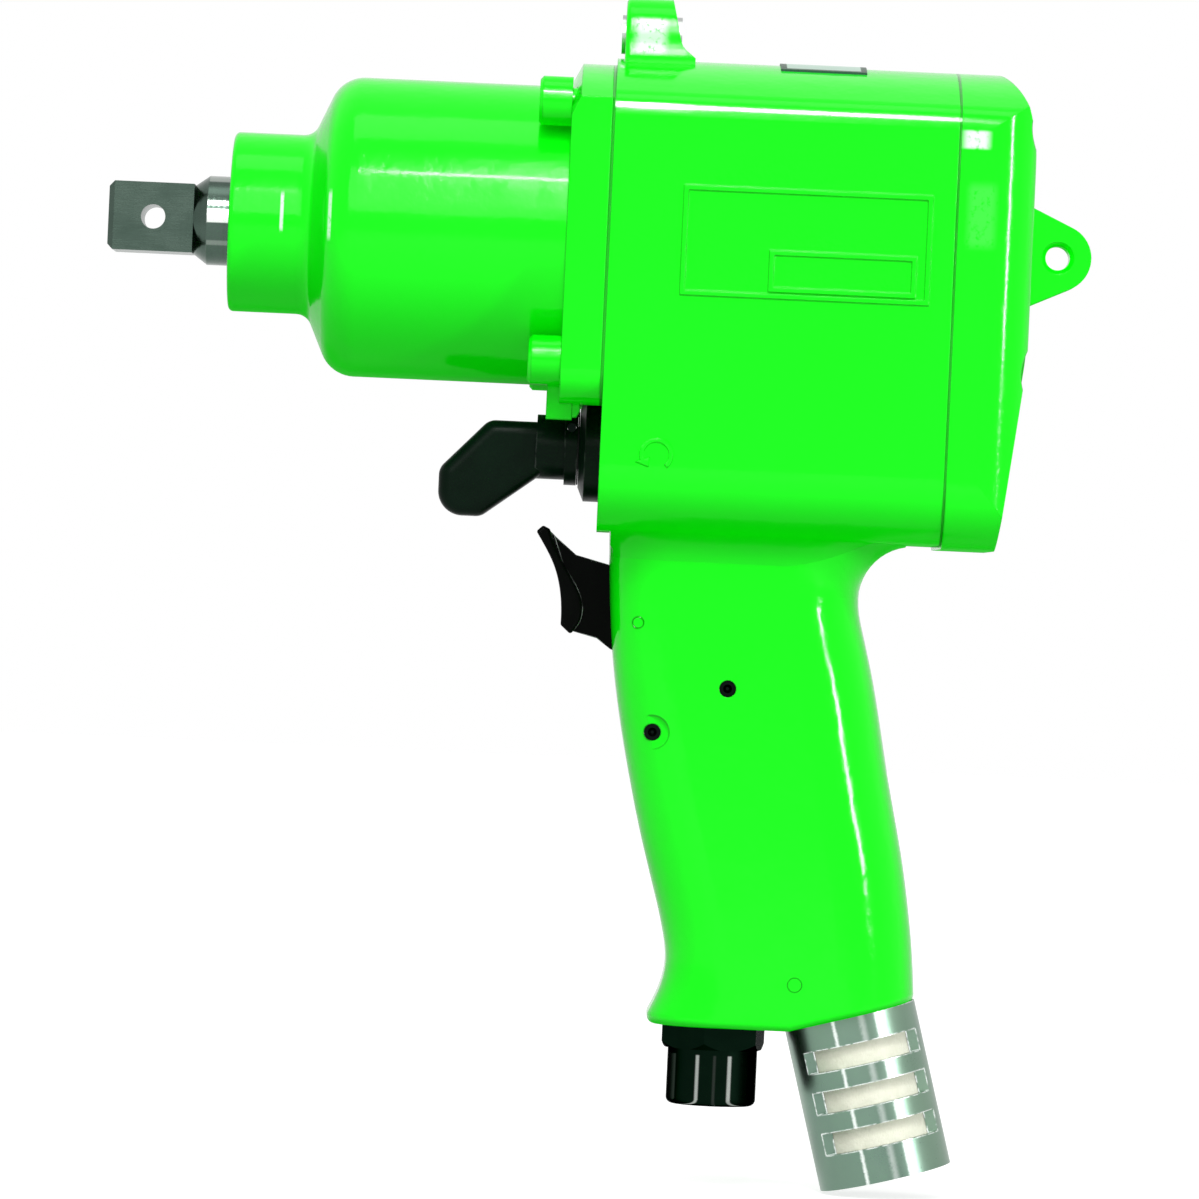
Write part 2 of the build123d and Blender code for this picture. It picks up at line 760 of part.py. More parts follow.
with BuildPart() as motor_housing:
    with BuildSketch(Plane.YZ.offset(head_front)):
        add(head_outline(head_bottom))
    extrude(amount=head_length)
    add(grip.part)
    add(neck_flare.part)
    add(top_lug.part)
    with BuildSketch(Plane.XZ.offset(head_half_width)):
        with Locations((head_front + panel_setback + panel_length / 2, panel_centre_height)):
            Rectangle(panel_length, panel_height)
            Rectangle(panel_length - 2 * panel_bead, panel_height - 2 * panel_bead, mode=Mode.SUBTRACT)
        with Locations(
            (
                head_front + panel_setback + panel_row_setback + panel_row_length / 2,
                panel_centre_height - panel_row_drop,
            )
        ):
            Rectangle(panel_row_length, panel_row_height)
            Rectangle(
                panel_row_length - 2 * panel_bead,
                panel_row_height - 2 * panel_bead,
                mode=Mode.SUBTRACT,
            )
    extrude(amount=panel_relief)
    with BuildSketch(Plane.YZ.offset(head_front)):
        Circle(motor_bore_radius)
    extrude(amount=head_length, mode=Mode.SUBTRACT)
    with BuildSketch(Plane.YZ.offset(head_front)):
        with GridLocations(bolt_spacing, bolt_spacing, 2, 2):
            Circle(bolt_radius + seat_fit)
    extrude(amount=bolt_thread_length, mode=Mode.SUBTRACT)
    with BuildSketch(Plane.YZ.offset(head_rear)):
        with GridLocations(screw_spacing, screw_spacing, 2, 2):
            Circle(screw_radius + seat_fit)
    extrude(amount=-screw_thread_length, mode=Mode.SUBTRACT)
    with BuildSketch(reverse_face):
        Circle(reverse_bushing_radius + seat_fit)
    extrude(amount=reverse_bushing_length, mode=Mode.SUBTRACT)
    with BuildSketch(reverse_face):
        with Locations((0, -detent_offset)):
            Circle(detent_ball_radius + seat_fit)
    extrude(amount=detent_bore_end - head_front, mode=Mode.SUBTRACT)
    with BuildSketch(slide.offset(-trigger_stem_depth)):
        with Locations((0, (trigger_stem_top + trigger_slot_bottom) / 2)):
            Rectangle(
                trigger_stem_width + 2 * moving_gap,
                trigger_stem_top - trigger_slot_bottom + 2 * moving_gap,
            )
    extrude(amount=trigger_stem_depth + slot_depth, mode=Mode.SUBTRACT)
    with BuildSketch(slide.offset(slot_depth)):
        Circle(throttle_bushing_radius + seat_fit)
    extrude(amount=chamber_end - slot_depth, mode=Mode.SUBTRACT)
    with BuildSketch(trigger_side):
        with Locations((guide_pin_depth, -guide_pin_drop)):
            Circle(guide_pin_radius + seat_fit)
        with Locations((throttle_pin_depth, -throttle_pin_drop), (lower_pin_depth, -lower_pin_drop)):
            Circle(roll_pin_radius + seat_fit)
    extrude(amount=grip_half_width, both=True, mode=Mode.SUBTRACT)
    for side in (-1, 1):
        with BuildSketch(trigger_side.offset(side * pin_end)):
            with Locations((lower_pin_depth, -lower_pin_drop)):
                Circle(spot_face_radius)
        extrude(amount=side * (roll_pin_inset + overshoot), mode=Mode.SUBTRACT)
    with BuildSketch(muffler_side):
        with Locations((-muffler_pin_height, -muffler_pin_offset)):
            Circle(muffler_pin_radius + seat_fit)
    extrude(amount=grip_half_width, both=True, mode=Mode.SUBTRACT)
    with BuildSketch(muffler.offset(-muffler_neck_length)):
        Circle(muffler_neck_radius + seat_fit)
    extrude(amount=muffler_neck_length + grip_bottom_edge, mode=Mode.SUBTRACT)
    with BuildSketch(inlet_seat):
        Circle(inlet_thread_radius + seat_fit)
    extrude(amount=-inlet_thread_length, mode=Mode.SUBTRACT)
    with BuildSketch(Plane.YZ.offset(lug_front - overshoot)):
        with Locations((0, hanger_bush_height)):
            Circle(hanger_bush_radius + seat_fit)
    extrude(amount=lug_length + 2 * overshoot, mode=Mode.SUBTRACT)
    for start, end, radius in (
        (neck_top, exhaust_passage_top, exhaust_passage_radius),
        (exhaust_passage_top, (exhaust_passage_top[0], 0, 0), exhaust_passage_radius),
        (inlet_top, slide.offset(inlet_port_station).origin, air_passage_radius),
        (
            slide.offset(supply_port_depth).origin,
            (slide.offset(supply_port_depth).origin.X, 0, reverse_height),
            reverse_port_radius,
        ),
    ):
        add(rod_between(start, end, radius), mode=Mode.SUBTRACT)
save(motor_housing, "motor_housing")

with BuildPart() as hanger_bush:
    with BuildSketch(Plane.YZ.offset(lug_front - hanger_bush_stand_out)):
        with Locations((0, hanger_bush_height)):
            Circle(hanger_bush_radius)
            Circle(hanger_bush_bore, mode=Mode.SUBTRACT)
    extrude(amount=lug_length + hanger_bush_stand_out)
save(hanger_bush, "hanger_bush")

with BuildPart() as top_plate:
    with BuildSketch(Plane.YZ.offset(head_front + plate_setback)):
        with Locations((0, roof_centre)):
            Circle(roof_radius + plate_thickness)
            Circle(roof_radius, mode=Mode.SUBTRACT)
        with Locations((0, head_top)):
            Rectangle(2 * plate_half_width, 2 * roof_rise, mode=Mode.INTERSECT)
    extrude(amount=plate_length)
save(top_plate, "top_plate")

# Rear gasket, rear cover with its ear, and the cover screws
with BuildPart() as rear_gasket:
    with BuildSketch(Plane.YZ.offset(head_rear)):
        add(head_outline(head_bottom))
        Circle(motor_radius - rear_gasket_land, mode=Mode.SUBTRACT)
        with GridLocations(screw_spacing, screw_spacing, 2, 2):
            Circle(screw_radius + seat_fit, mode=Mode.SUBTRACT)
    extrude(amount=rear_gasket_thickness)
save(rear_gasket, "rear_gasket")

cover_bottom = head_bottom - cover_bottom_step
taper_run = (cover_taper_start - cover_bottom) * tan(radians(cover_taper_angle))
crown_points = [(cover_rear + back, height) for back, height in cover_crown_line]
corner_rear = cover_rear + cover_corner_step
cut_half_width = head_half_width + overshoot
ear_centre = cover_rear + ear_reach - ear_tip_radius
with BuildPart() as rear_cover:
    with BuildSketch(Plane.YZ.offset(cover_front)):
        add(head_outline(cover_bottom))
    extrude(amount=2 * cover_depth)
    with BuildSketch(Plane.XZ.offset(-cut_half_width)):
        with BuildLine():
            crown = Spline(*crown_points, tangents=cover_crown_ends)
            back_line = FilletPolyline(
                crown @ 1,
                (cover_rear, cover_taper_start),
                (cover_rear - taper_run, cover_bottom - seat_fit),
                radius=[cover_bend_radius],
            )
            Polyline(
                back_line @ 1,
                (cover_rear + 2 * cover_depth, cover_bottom - seat_fit),
                (cover_rear + 2 * cover_depth, crown_points[0][1]),
                crown @ 0,
            )
        make_face()
    extrude(amount=2 * cut_half_width, mode=Mode.SUBTRACT)
    with BuildSketch(Plane.XY.offset(cover_bottom - overshoot)):
        with BuildLine():
            sides = FilletPolyline(
                (cover_front, head_half_width),
                (corner_rear, head_half_width),
                (corner_rear, -head_half_width),
                (cover_front, -head_half_width),
                radius=[cover_corner_radius, cover_corner_radius],
            )
            Line(sides @ 1, sides @ 0)
        make_face()
    extrude(amount=head_top - cover_bottom + 2 * overshoot, mode=Mode.INTERSECT)
    with BuildSketch(Plane.XZ):
        with Locations((ear_centre, 0)):
            Circle(ear_tip_radius)
        with Locations((cover_rear - ear_root_radius, 0)):
            Rectangle(ear_root_radius, 2 * ear_root_half_height)
        make_hull()
    extrude(amount=ear_thickness / 2, both=True)
    with BuildSketch(Plane.XZ):
        with Locations((ear_centre, 0)):
            Circle(ear_hole_radius)
    extrude(amount=ear_thickness, both=True, mode=Mode.SUBTRACT)
    rims = rear_cover.edges().filter_by(GeomType.CIRCLE).filter_by(
        lambda edge: abs(edge.radius - ear_hole_radius) < seat_fit
    )
    chamfer(rims, length=ear_hole_chamfer)
    with BuildSketch(Plane.YZ.offset(cover_front)):
        Circle(cover_recess_radius)
    extrude(amount=cover_recess_depth, mode=Mode.SUBTRACT)
    with BuildSketch(Plane.YZ.offset(cover_front)):
        with GridLocations(screw_spacing, screw_spacing, 2, 2):
            Circle(screw_radius + seat_fit)
    extrude(amount=cover_depth, mode=Mode.SUBTRACT)
    with BuildSketch(Plane.YZ.offset(cover_rear)):
        with GridLocations(screw_spacing, screw_spacing, 2, 2):
            Circle(screw_pocket_radius)
    extrude(amount=-screw_pocket_depth, mode=Mode.SUBTRACT)
save(rear_cover, "rear_cover")

pocket_floor = cover_rear - screw_pocket_depth
with BuildPart() as rear_cover_screws:
    with BuildSketch(Plane.YZ.offset(pocket_floor)):
        with GridLocations(screw_spacing, screw_spacing, 2, 2):
            Circle(screw_head_radius)
    extrude(amount=screw_head_height)
    with BuildSketch(Plane.YZ.offset(pocket_floor)):
        with GridLocations(screw_spacing, screw_spacing, 2, 2):
            Circle(screw_radius)
    extrude(amount=head_rear - screw_thread_length - pocket_floor)
    with BuildSketch(Plane.YZ.offset(pocket_floor + screw_head_height)):
        with GridLocations(screw_spacing, screw_spacing, 2, 2):
            RegularPolygon(bolt_socket_radius, 6)
    extrude(amount=-bolt_socket_depth, mode=Mode.SUBTRACT)
save(rear_cover_screws, "rear_cover_screws")

# Air motor: end plates, eccentric cylinder and its dowel
for name, front, pocket_front in (
    ("front_end_plate", front_plate_front, front_plate_front),
    ("rear_end_plate", rear_plate_front, head_rear - bearing_width),
):
    with BuildPart() as end_plate:
        with BuildSketch(Plane.YZ.offset(front)):
            Circle(motor_radius)
            Circle(rotor_journal_radius + journal_gap, mode=Mode.SUBTRACT)
            with Locations((0, dowel_height)):
                Circle(dowel_radius + seat_fit, mode=Mode.SUBTRACT)
        extrude(amount=end_plate_thickness)
        with BuildSketch(Plane.YZ.offset(pocket_front)):
            Circle(bearing_outer_radius + seat_fit)
        extrude(amount=bearing_width, mode=Mode.SUBTRACT)
    save(end_plate, name)

with BuildPart() as motor_cylinder:
    with BuildSketch(Plane.YZ.offset(cylinder_front)):
        Circle(motor_radius)
        with Locations((0, cylinder_offset)):
            Circle(cylinder_bore_radius, mode=Mode.SUBTRACT)
        with Locations((0, dowel_height)):
            Circle(dowel_radius + seat_fit, mode=Mode.SUBTRACT)
    extrude(amount=cylinder_rear - cylinder_front)
    with BuildSketch(Plane.XY.offset(-motor_radius)):
        with Locations(((cylinder_front + cylinder_rear) / 2, 0)):
            with GridLocations(2 * exhaust_slot_width, 0, exhaust_slot_count, 1):
                Rectangle(exhaust_slot_width, exhaust_slot_length)
    extrude(amount=motor_radius + cylinder_offset, mode=Mode.SUBTRACT)
save(motor_cylinder, "motor_cylinder")

with BuildPart() as cylinder_dowel:
    with BuildSketch(Plane.YZ.offset(front_plate_front)):
        with Locations((0, dowel_height)):
            Circle(dowel_radius)
    extrude(amount=head_rear - front_plate_front)
save(cylinder_dowel, "cylinder_dowel")

# Rotor with its vane slots, journals and the spline that drives the hammer cage
rotor_front = cylinder_front + end_play
rotor_rear = cylinder_rear - end_play
vane_length = rotor_rear - rotor_front
with BuildPart() as rotor:
    with BuildSketch(Plane.YZ.offset(rotor_front)):
        Circle(rotor_radius)
        with PolarLocations(rotor_radius, vane_count):
            Rectangle(2 * vane_slot_depth, vane_thickness + 2 * vane_slot_play, mode=Mode.SUBTRACT)
    extrude(amount=vane_length)
    with BuildSketch(Plane.YZ.offset(front_plate_front)):
        Circle(rotor_journal_radius)
    extrude(amount=head_rear - end_play - front_plate_front)
    with BuildSketch(Plane.YZ.offset(cage_rear + seat_fit)):
        Circle(spline_root_radius)
        with PolarLocations((spline_root_radius + spline_tip_radius) / 2, spline_count):
            Rectangle(spline_tip_radius - spline_root_radius + overshoot, spline_width)
        Circle(spline_tip_radius, mode=Mode.INTERSECT)
    extrude(amount=front_plate_front - cage_rear)
save(rotor, "rotor")

with BuildPart() as rotor_vanes:
    with BuildSketch(Plane.YZ.offset(rotor_front)):
        with PolarLocations(rotor_radius - vane_slot_depth / 2, vane_count):
            Rectangle(vane_slot_depth - 2 * vane_slot_play, vane_thickness)
    extrude(amount=vane_length)
save(rotor_vanes, "rotor_vanes")

pitch_radius = (bearing_outer_radius + bearing_inner_radius) / 2
for end, front in (("front", front_plate_front), ("rear", head_rear - bearing_width)):
    with BuildPart() as outer_ring:
        with BuildSketch(Plane.YZ.offset(front)):
            Circle(bearing_outer_radius)
            Circle(pitch_radius + bearing_ball_radius + bearing_ball_play, mode=Mode.SUBTRACT)
        extrude(amount=bearing_width)
    save(outer_ring, f"{end}_bearing_outer_ring")
    with BuildPart() as inner_ring:
        with BuildSketch(Plane.YZ.offset(front)):
            Circle(pitch_radius - bearing_ball_radius - bearing_ball_play)
            Circle(bearing_inner_radius + seat_fit, mode=Mode.SUBTRACT)
        extrude(amount=bearing_width)
    save(inner_ring, f"{end}_bearing_inner_ring")
    with BuildPart(Plane.YZ.offset(front + bearing_width / 2)) as balls:
        with PolarLocations(pitch_radius, bearing_ball_count):
            Sphere(bearing_ball_radius)
    save(balls, f"{end}_bearing_balls")

# Hammer cage: two end plates joined by two struts, with the pins that the hammers swing on
with BuildPart() as hammer_cage:
    with BuildSketch(Plane.YZ.offset(cage_front)):
        Circle(hammer_cage_radius)
        Circle(anvil_collar_radius + running_fit, mode=Mode.SUBTRACT)
    extrude(amount=cage_front_plate)
    with BuildSketch(Plane.YZ.offset(hammer_bay_front)):
        Circle(hammer_cage_radius)
        Rectangle(2 * hammer_cage_radius, cage_strut_height, mode=Mode.INTERSECT)
        Rectangle(2 * cage_strut_inner, cage_strut_height, mode=Mode.SUBTRACT)
    extrude(amount=hammer_bay_rear - hammer_bay_front)
    with BuildSketch(Plane.YZ.offset(hammer_bay_rear)):
        Circle(hammer_cage_radius)
    extrude(amount=cage_rear_plate)
    with BuildSketch(Plane.YZ.offset(cage_rear)):
        Circle(cage_hub_radius)
    extrude(amount=cage_hub_length)
    with BuildSketch(Plane.YZ.offset(hammer_bay_rear)):
        Circle(anvil_pilot_radius + running_fit)
    extrude(amount=anvil_pilot_length + moving_gap, mode=Mode.SUBTRACT)
    with BuildSketch(Plane.YZ.offset(cage_rear)):
        Circle(spline_root_radius + seat_fit)
        with PolarLocations((spline_root_radius + spline_tip_radius) / 2, spline_count):
            Rectangle(
                spline_tip_radius - spline_root_radius + overshoot, spline_width + 2 * seat_fit
            )
        Circle(spline_tip_radius + seat_fit, mode=Mode.INTERSECT)
    extrude(amount=cage_hub_length, mode=Mode.SUBTRACT)
    with BuildSketch(Plane.YZ.offset(cage_front + hammer_pin_setback)):
        with Locations((0, hammer_pin_offset), (0, -hammer_pin_offset)):
            Circle(hammer_pin_radius + seat_fit)
    extrude(amount=cage_rear - cage_front, mode=Mode.SUBTRACT)
save(hammer_cage, "hammer_cage")

with BuildPart() as hammer_pins:
    with BuildSketch(Plane.YZ.offset(cage_front + hammer_pin_setback)):
        with Locations((0, hammer_pin_offset), (0, -hammer_pin_offset)):
            Circle(hammer_pin_radius)
    extrude(amount=cage_rear - cage_front - hammer_pin_setback)
save(hammer_pins, "hammer_pins")

# Hammers: flat-sided rings with two inner jaws, a pivot notch and a wide notch for the other pin
notch_half_width = hammer_pin_radius + 2 * hammer_pin_offset * sin(radians(hammer_swing)) + moving_gap
notch_floor = hammer_pin_offset - hammer_pin_radius - moving_gap
jaw_depth = hammer_bore_radius - hammer_jaw_reach + overshoot
for name, front, turn in (
    ("front_hammer", front_hammer_front, 0),
    ("rear_hammer", rear_hammer_front, 180),
):
    with BuildPart() as hammer:
        with BuildSketch() as ring:
            Circle(hammer_radius)
            Rectangle(2 * hammer_half_width, 2 * hammer_radius, mode=Mode.INTERSECT)
            Circle(hammer_bore_radius, mode=Mode.SUBTRACT)
            with GridLocations(2 * hammer_jaw_reach + jaw_depth, 0, 2, 1):
                Rectangle(jaw_depth, hammer_jaw_width)
            with Locations((0, hammer_pin_offset)):
                Circle(hammer_pin_radius + running_fit, mode=Mode.SUBTRACT)
            with Locations((0, -(notch_floor + hammer_radius) / 2 - overshoot)):
                Rectangle(
                    2 * notch_half_width,
                    hammer_radius - notch_floor + 2 * overshoot,
                    mode=Mode.SUBTRACT,
                )
        extrude(amount=hammer_thickness)
    hammer.part = Plane.YZ.offset(front).location * Rot(0, 0, turn) * hammer.part
    save(hammer, name)

# Trigger: a hollow-faced blade on a narrower stem that slides in the grip, drawn along the slide
lip_end = trigger_lip_start + trigger_lip_length
with BuildPart() as trigger:
    with BuildSketch(trigger_side.offset(-trigger_blade_width / 2)) as blade:
        with BuildLine():
            blade_front = Spline(*trigger_front_line)
            blade_back = Spline(*trigger_back_line)
            Polyline(blade_front @ 0, trigger_tip, blade_back @ 0)
            Polyline(blade_front @ 1, trigger_toe, blade_back @ 1)
        make_face()
        fillet(blade.vertices(), trigger_blade_corner)
    extrude(amount=trigger_blade_width)
    rims = trigger.edges().filter_by(
        lambda edge: abs(edge.center().Y) > trigger_blade_width / 2 - seat_fit
    )
    fillet(rims, trigger_blade_edge)
    with BuildSketch(trigger_side):
        with BuildLine():
            Polyline(
                trigger_web_top,
                (trigger_web_end, trigger_stem_top),
                (trigger_stem_depth, trigger_stem_top),
                (trigger_stem_depth, trigger_slot_bottom),
                (lip_end, trigger_slot_bottom),
                (trigger_lip_start, trigger_stem_bottom),
                (trigger_toe[0], trigger_stem_bottom),
                trigger_web_root,
                close=True,
            )
        make_face()
    extrude(amount=trigger_stem_width / 2, both=True)
    with BuildSketch(trigger_side):
        with Locations((guide_pin_depth - trigger_travel / 2, -guide_pin_drop)):
            SlotCenterToCenter(trigger_travel, 2 * (guide_pin_radius + moving_gap))
    extrude(amount=trigger_stem_width, both=True, mode=Mode.SUBTRACT)
    with BuildSketch(slide.offset(trigger_stem_depth)):
        Circle(valve_rod_radius + seat_fit)
    extrude(amount=-valve_rod_seat, mode=Mode.SUBTRACT)
save(trigger, "trigger")

with BuildPart() as trigger_guide_pin:
    with BuildSketch(trigger_side):
        with Locations((guide_pin_depth, -guide_pin_drop)):
            Circle(guide_pin_radius)
    extrude(amount=pin_end, both=True)
save(trigger_guide_pin, "trigger_guide_pin")

with BuildPart() as grip_roll_pins:
    with BuildSketch(trigger_side):
        with Locations((throttle_pin_depth, -throttle_pin_drop), (lower_pin_depth, -lower_pin_drop)):
            Circle(roll_pin_radius)
            Circle(roll_pin_bore, mode=Mode.SUBTRACT)
    extrude(amount=pin_end, both=True)
save(grip_roll_pins, "grip_roll_pins")

# Throttle: a headed valve pushed off its seat by the trigger, its bushing and its spring
valve_head_front = throttle_seat + moving_gap
valve_head_rear = valve_head_front + valve_head_thickness
with BuildPart() as throttle_valve:
    with BuildSketch(slide.offset(trigger_stem_depth - valve_rod_seat)):
        Circle(valve_rod_radius)
    extrude(amount=valve_head_rear - trigger_stem_depth + valve_rod_seat)
    with BuildSketch(slide.offset(valve_head_front)):
        Circle(valve_head_radius)
    extrude(amount=valve_head_thickness)
save(throttle_valve, "throttle_valve")

with BuildPart() as throttle_bushing:
    with BuildSketch(slide.offset(slot_depth)):
        Circle(throttle_bushing_radius)
        Circle(valve_rod_radius + wide_gap, mode=Mode.SUBTRACT)
    extrude(amount=throttle_bushing_length)
    with BuildSketch(slide.offset(throttle_seat)):
        Circle(throttle_chamber_radius)
    extrude(amount=throttle_bushing_length, mode=Mode.SUBTRACT)
    with BuildSketch(trigger_side):
        with Locations((throttle_pin_depth, -throttle_pin_drop)):
            Circle(roll_pin_radius + seat_fit)
    extrude(amount=grip_half_width, both=True, mode=Mode.SUBTRACT)
    inlet_port = slide.offset(inlet_port_station).origin
    supply_port = slide.offset(supply_port_depth).origin
    add(
        rod_between(supply_port, (supply_port.X, 0, reverse_height), reverse_port_radius),
        mode=Mode.SUBTRACT,
    )
    add(rod_between(inlet_top, inlet_port, air_passage_radius), mode=Mode.SUBTRACT)
save(throttle_bushing, "throttle_bushing")

with BuildPart() as throttle_spring:
    with BuildSketch(slide.offset(valve_head_rear)):
        Circle(throttle_spring_radius)
        Circle(throttle_spring_radius - throttle_spring_wall, mode=Mode.SUBTRACT)
    extrude(amount=chamber_end - valve_head_rear)
save(throttle_spring, "throttle_spring")

# Reversing valve in its bushing, the collar on the head and the hand lever
with BuildPart() as reverse_valve_bushing:
    with BuildSketch(reverse_face):
        Circle(reverse_bushing_radius)
        Circle(reverse_valve_radius + running_fit, mode=Mode.SUBTRACT)
    extrude(amount=reverse_bushing_length)
    with Locations((head_front + reverse_bushing_length / 2, 0, reverse_height)):
        Cylinder(reverse_port_radius, 4 * reverse_bushing_radius, mode=Mode.SUBTRACT)
save(reverse_valve_bushing, "reverse_valve_bushing")

ball_plane = reverse_face.offset(ball_centre - head_front)
lever_pin_station = (ring_front + ring_rear - moving_gap) / 2
with BuildPart() as reverse_valve:
    with BuildSketch(reverse_face.offset(moving_gap)):
        Circle(reverse_valve_radius)
    extrude(amount=reverse_bushing_length - 2 * moving_gap)
    with BuildSketch(reverse_face.offset(lever_hub_front + lever_stem_cover - head_front)):
        Circle(reverse_stem_radius)
    extrude(amount=head_front + moving_gap - lever_hub_front - lever_stem_cover)
    with Locations((head_front + reverse_bushing_length / 2, 0, reverse_height)):
        Cylinder(reverse_port_radius, 4 * reverse_bushing_radius, mode=Mode.SUBTRACT)
    with Locations(ball_plane.location):
        Torus(detent_offset, detent_ball_radius + seat_fit, mode=Mode.SUBTRACT)
    with BuildSketch(reverse_face.offset(valve_rear - head_front)):
        with PolarLocations(detent_offset, 3, -90 - lever_swing, 2 * lever_swing, endpoint=True):
            Circle(detent_pocket_radius)
    extrude(amount=-detent_depth - detent_pocket_depth, mode=Mode.SUBTRACT)
    with BuildSketch(Plane.XZ):
        with Locations((lever_pin_station, reverse_height + lever_pin_height)):
            Circle(lever_pin_radius + seat_fit)
    extrude(amount=lever_ring_radius, both=True, mode=Mode.SUBTRACT)
save(reverse_valve, "reverse_valve")

with BuildPart(ball_plane) as detent_ball:
    with Locations((0, -detent_offset, 0)):
        Sphere(detent_ball_radius)
save(detent_ball, "detent_ball")

with BuildPart() as detent_spring:
    with BuildSketch(ball_plane.offset(detent_ball_radius)):
        with Locations((0, -detent_offset)):
            Circle(detent_ball_radius - seat_fit)
            Circle(detent_spring_bore, mode=Mode.SUBTRACT)
    extrude(amount=detent_spring_length)
save(detent_spring, "detent_spring")

with BuildPart() as reverse_collar:
    with BuildSketch(reverse_face.offset(-collar_thickness)):
        Circle(collar_radius)
    extrude(amount=collar_thickness)
    with BuildSketch(reverse_face.offset(-collar_thickness)):
        Circle(collar_radius)
    with BuildSketch(reverse_face.offset(ring_rear - head_front)):
        Circle(lever_ring_radius + moving_gap)
    loft()
    with BuildSketch(reverse_face):
        Circle(reverse_stem_radius + running_fit)
    extrude(amount=2 * (ring_rear - head_front), mode=Mode.SUBTRACT)
save(reverse_collar, "reverse_collar")

with BuildPart() as reverse_lever:
    with BuildSketch(Plane.XZ):
        with BuildLine():
            arm = FilletPolyline(
                (lever_hub_front + lever_stem_cover, reverse_height + lever_arm_top),
                (lever_hub_front - lever_bend_reach, reverse_height + lever_arm_top),
                (lever_hub_front - lever_reach, reverse_height - lever_toe_drop),
                (lever_hub_front - lever_reach, reverse_height - lever_drop),
                (lever_hub_front - lever_heel_reach, reverse_height - lever_drop),
                (lever_hub_front + lever_stem_cover, reverse_height - lever_arm_top),
                radius=[lever_bend_radius, lever_bend_radius, lever_toe_radius, lever_bend_radius],
            )
            Line(arm @ 1, arm @ 0)
        make_face()
    extrude(amount=lever_arm_thickness / 2, both=True)
    sides = reverse_lever.faces().filter_by(Axis.Y)
    fillet(sides.edges(), lever_edge_radius)
    with BuildSketch(reverse_face.offset(lever_hub_front - head_front)):
        Circle(lever_hub_radius)
    extrude(amount=lever_hub_length)
    with BuildSketch(reverse_face.offset(ring_front - head_front)):
        Circle(lever_ring_radius)
    extrude(amount=lever_ring_length - moving_gap)
    with BuildSketch(reverse_face.offset(lever_hub_front + lever_stem_cover - head_front)):
        Circle(reverse_stem_radius + seat_fit)
    extrude(amount=ring_rear - lever_hub_front, mode=Mode.SUBTRACT)
    with BuildSketch(Plane.XZ):
        with Locations((lever_pin_station, reverse_height + lever_pin_height)):
            Circle(lever_pin_radius + seat_fit)
    extrude(amount=lever_ring_radius, both=True, mode=Mode.SUBTRACT)
save(reverse_lever, "reverse_lever")

with BuildPart() as reverse_lever_pin:
    with BuildSketch(Plane.XZ):
        with Locations((lever_pin_station, reverse_height + lever_pin_height)):
            Circle(lever_pin_radius)
    extrude(amount=sqrt(lever_ring_radius**2 - lever_pin_height**2), both=True)
save(reverse_lever_pin, "reverse_lever_pin")

# Air inlet bushing with its threaded port, seal ring and strainer
seal_groove_height = 2 * seal_ring_radius + 2 * seat_fit
seal_centre_radius = inlet_thread_radius - seal_ring_radius
seal_height = grip_bottom + 2 * seal_ring_radius
inlet_axis = Axis((inlet_x, 0, 0), (0, 0, 1))
inlet_end = grip_bottom - inlet_hex_length - inlet_body_length
hex_corner = inlet_hex_across_flats / 2 / cos(radians(30))
with BuildPart() as inlet_bushing:
    with BuildSketch(inlet_seat):
        RegularPolygon(inlet_hex_across_flats / 2, 6, major_radius=False, rotation=inlet_hex_turn)
    extrude(amount=inlet_hex_length)
    with BuildSketch(Plane.XZ):
        with BuildLine():
            Polyline(
                (inlet_x, grip_bottom),
                (inlet_x + hex_corner, grip_bottom),
                (inlet_x + hex_corner, grip_bottom - inlet_hex_length + inlet_edge),
                (inlet_x + hex_corner - inlet_edge, grip_bottom - inlet_hex_length),
                (inlet_x, grip_bottom - inlet_hex_length),
                close=True,
            )
        make_face()
    revolve(axis=inlet_axis, mode=Mode.INTERSECT)
    with BuildSketch(inlet_seat):
        Circle(inlet_thread_radius)
    extrude(amount=moving_gap - inlet_thread_length)
    with BuildSketch(inlet_seat.offset(inlet_hex_length)):
        Circle(inlet_body_radius)
    extrude(amount=inlet_body_length)
    fillet(inlet_bushing.faces().sort_by(Axis.Z)[0].edges(), inlet_edge)
    with BuildSketch(Plane.XY.offset(seal_height)):
        with Locations((inlet_x, 0)):
            Circle(inlet_thread_radius)
            Circle(inlet_thread_radius - 2 * seal_ring_radius, mode=Mode.SUBTRACT)
    extrude(amount=seal_groove_height / 2, both=True, mode=Mode.SUBTRACT)
    with BuildSketch(Plane.XY.offset(inlet_end)):
        with Locations((inlet_x, 0)):
            Circle(inlet_port_radius)
    extrude(amount=inlet_port_depth, mode=Mode.SUBTRACT)
    with BuildSketch(Plane.XY.offset(inlet_end)):
        with Locations((inlet_x, 0)):
            Circle(inlet_bore_radius)
    extrude(amount=2 * inlet_body_length + inlet_thread_length, mode=Mode.SUBTRACT)
save(inlet_bushing, "inlet_bushing")

with BuildPart(Plane((inlet_x, 0, seal_height))) as inlet_seal:
    Torus(seal_centre_radius, seal_ring_radius)
save(inlet_seal, "inlet_seal")

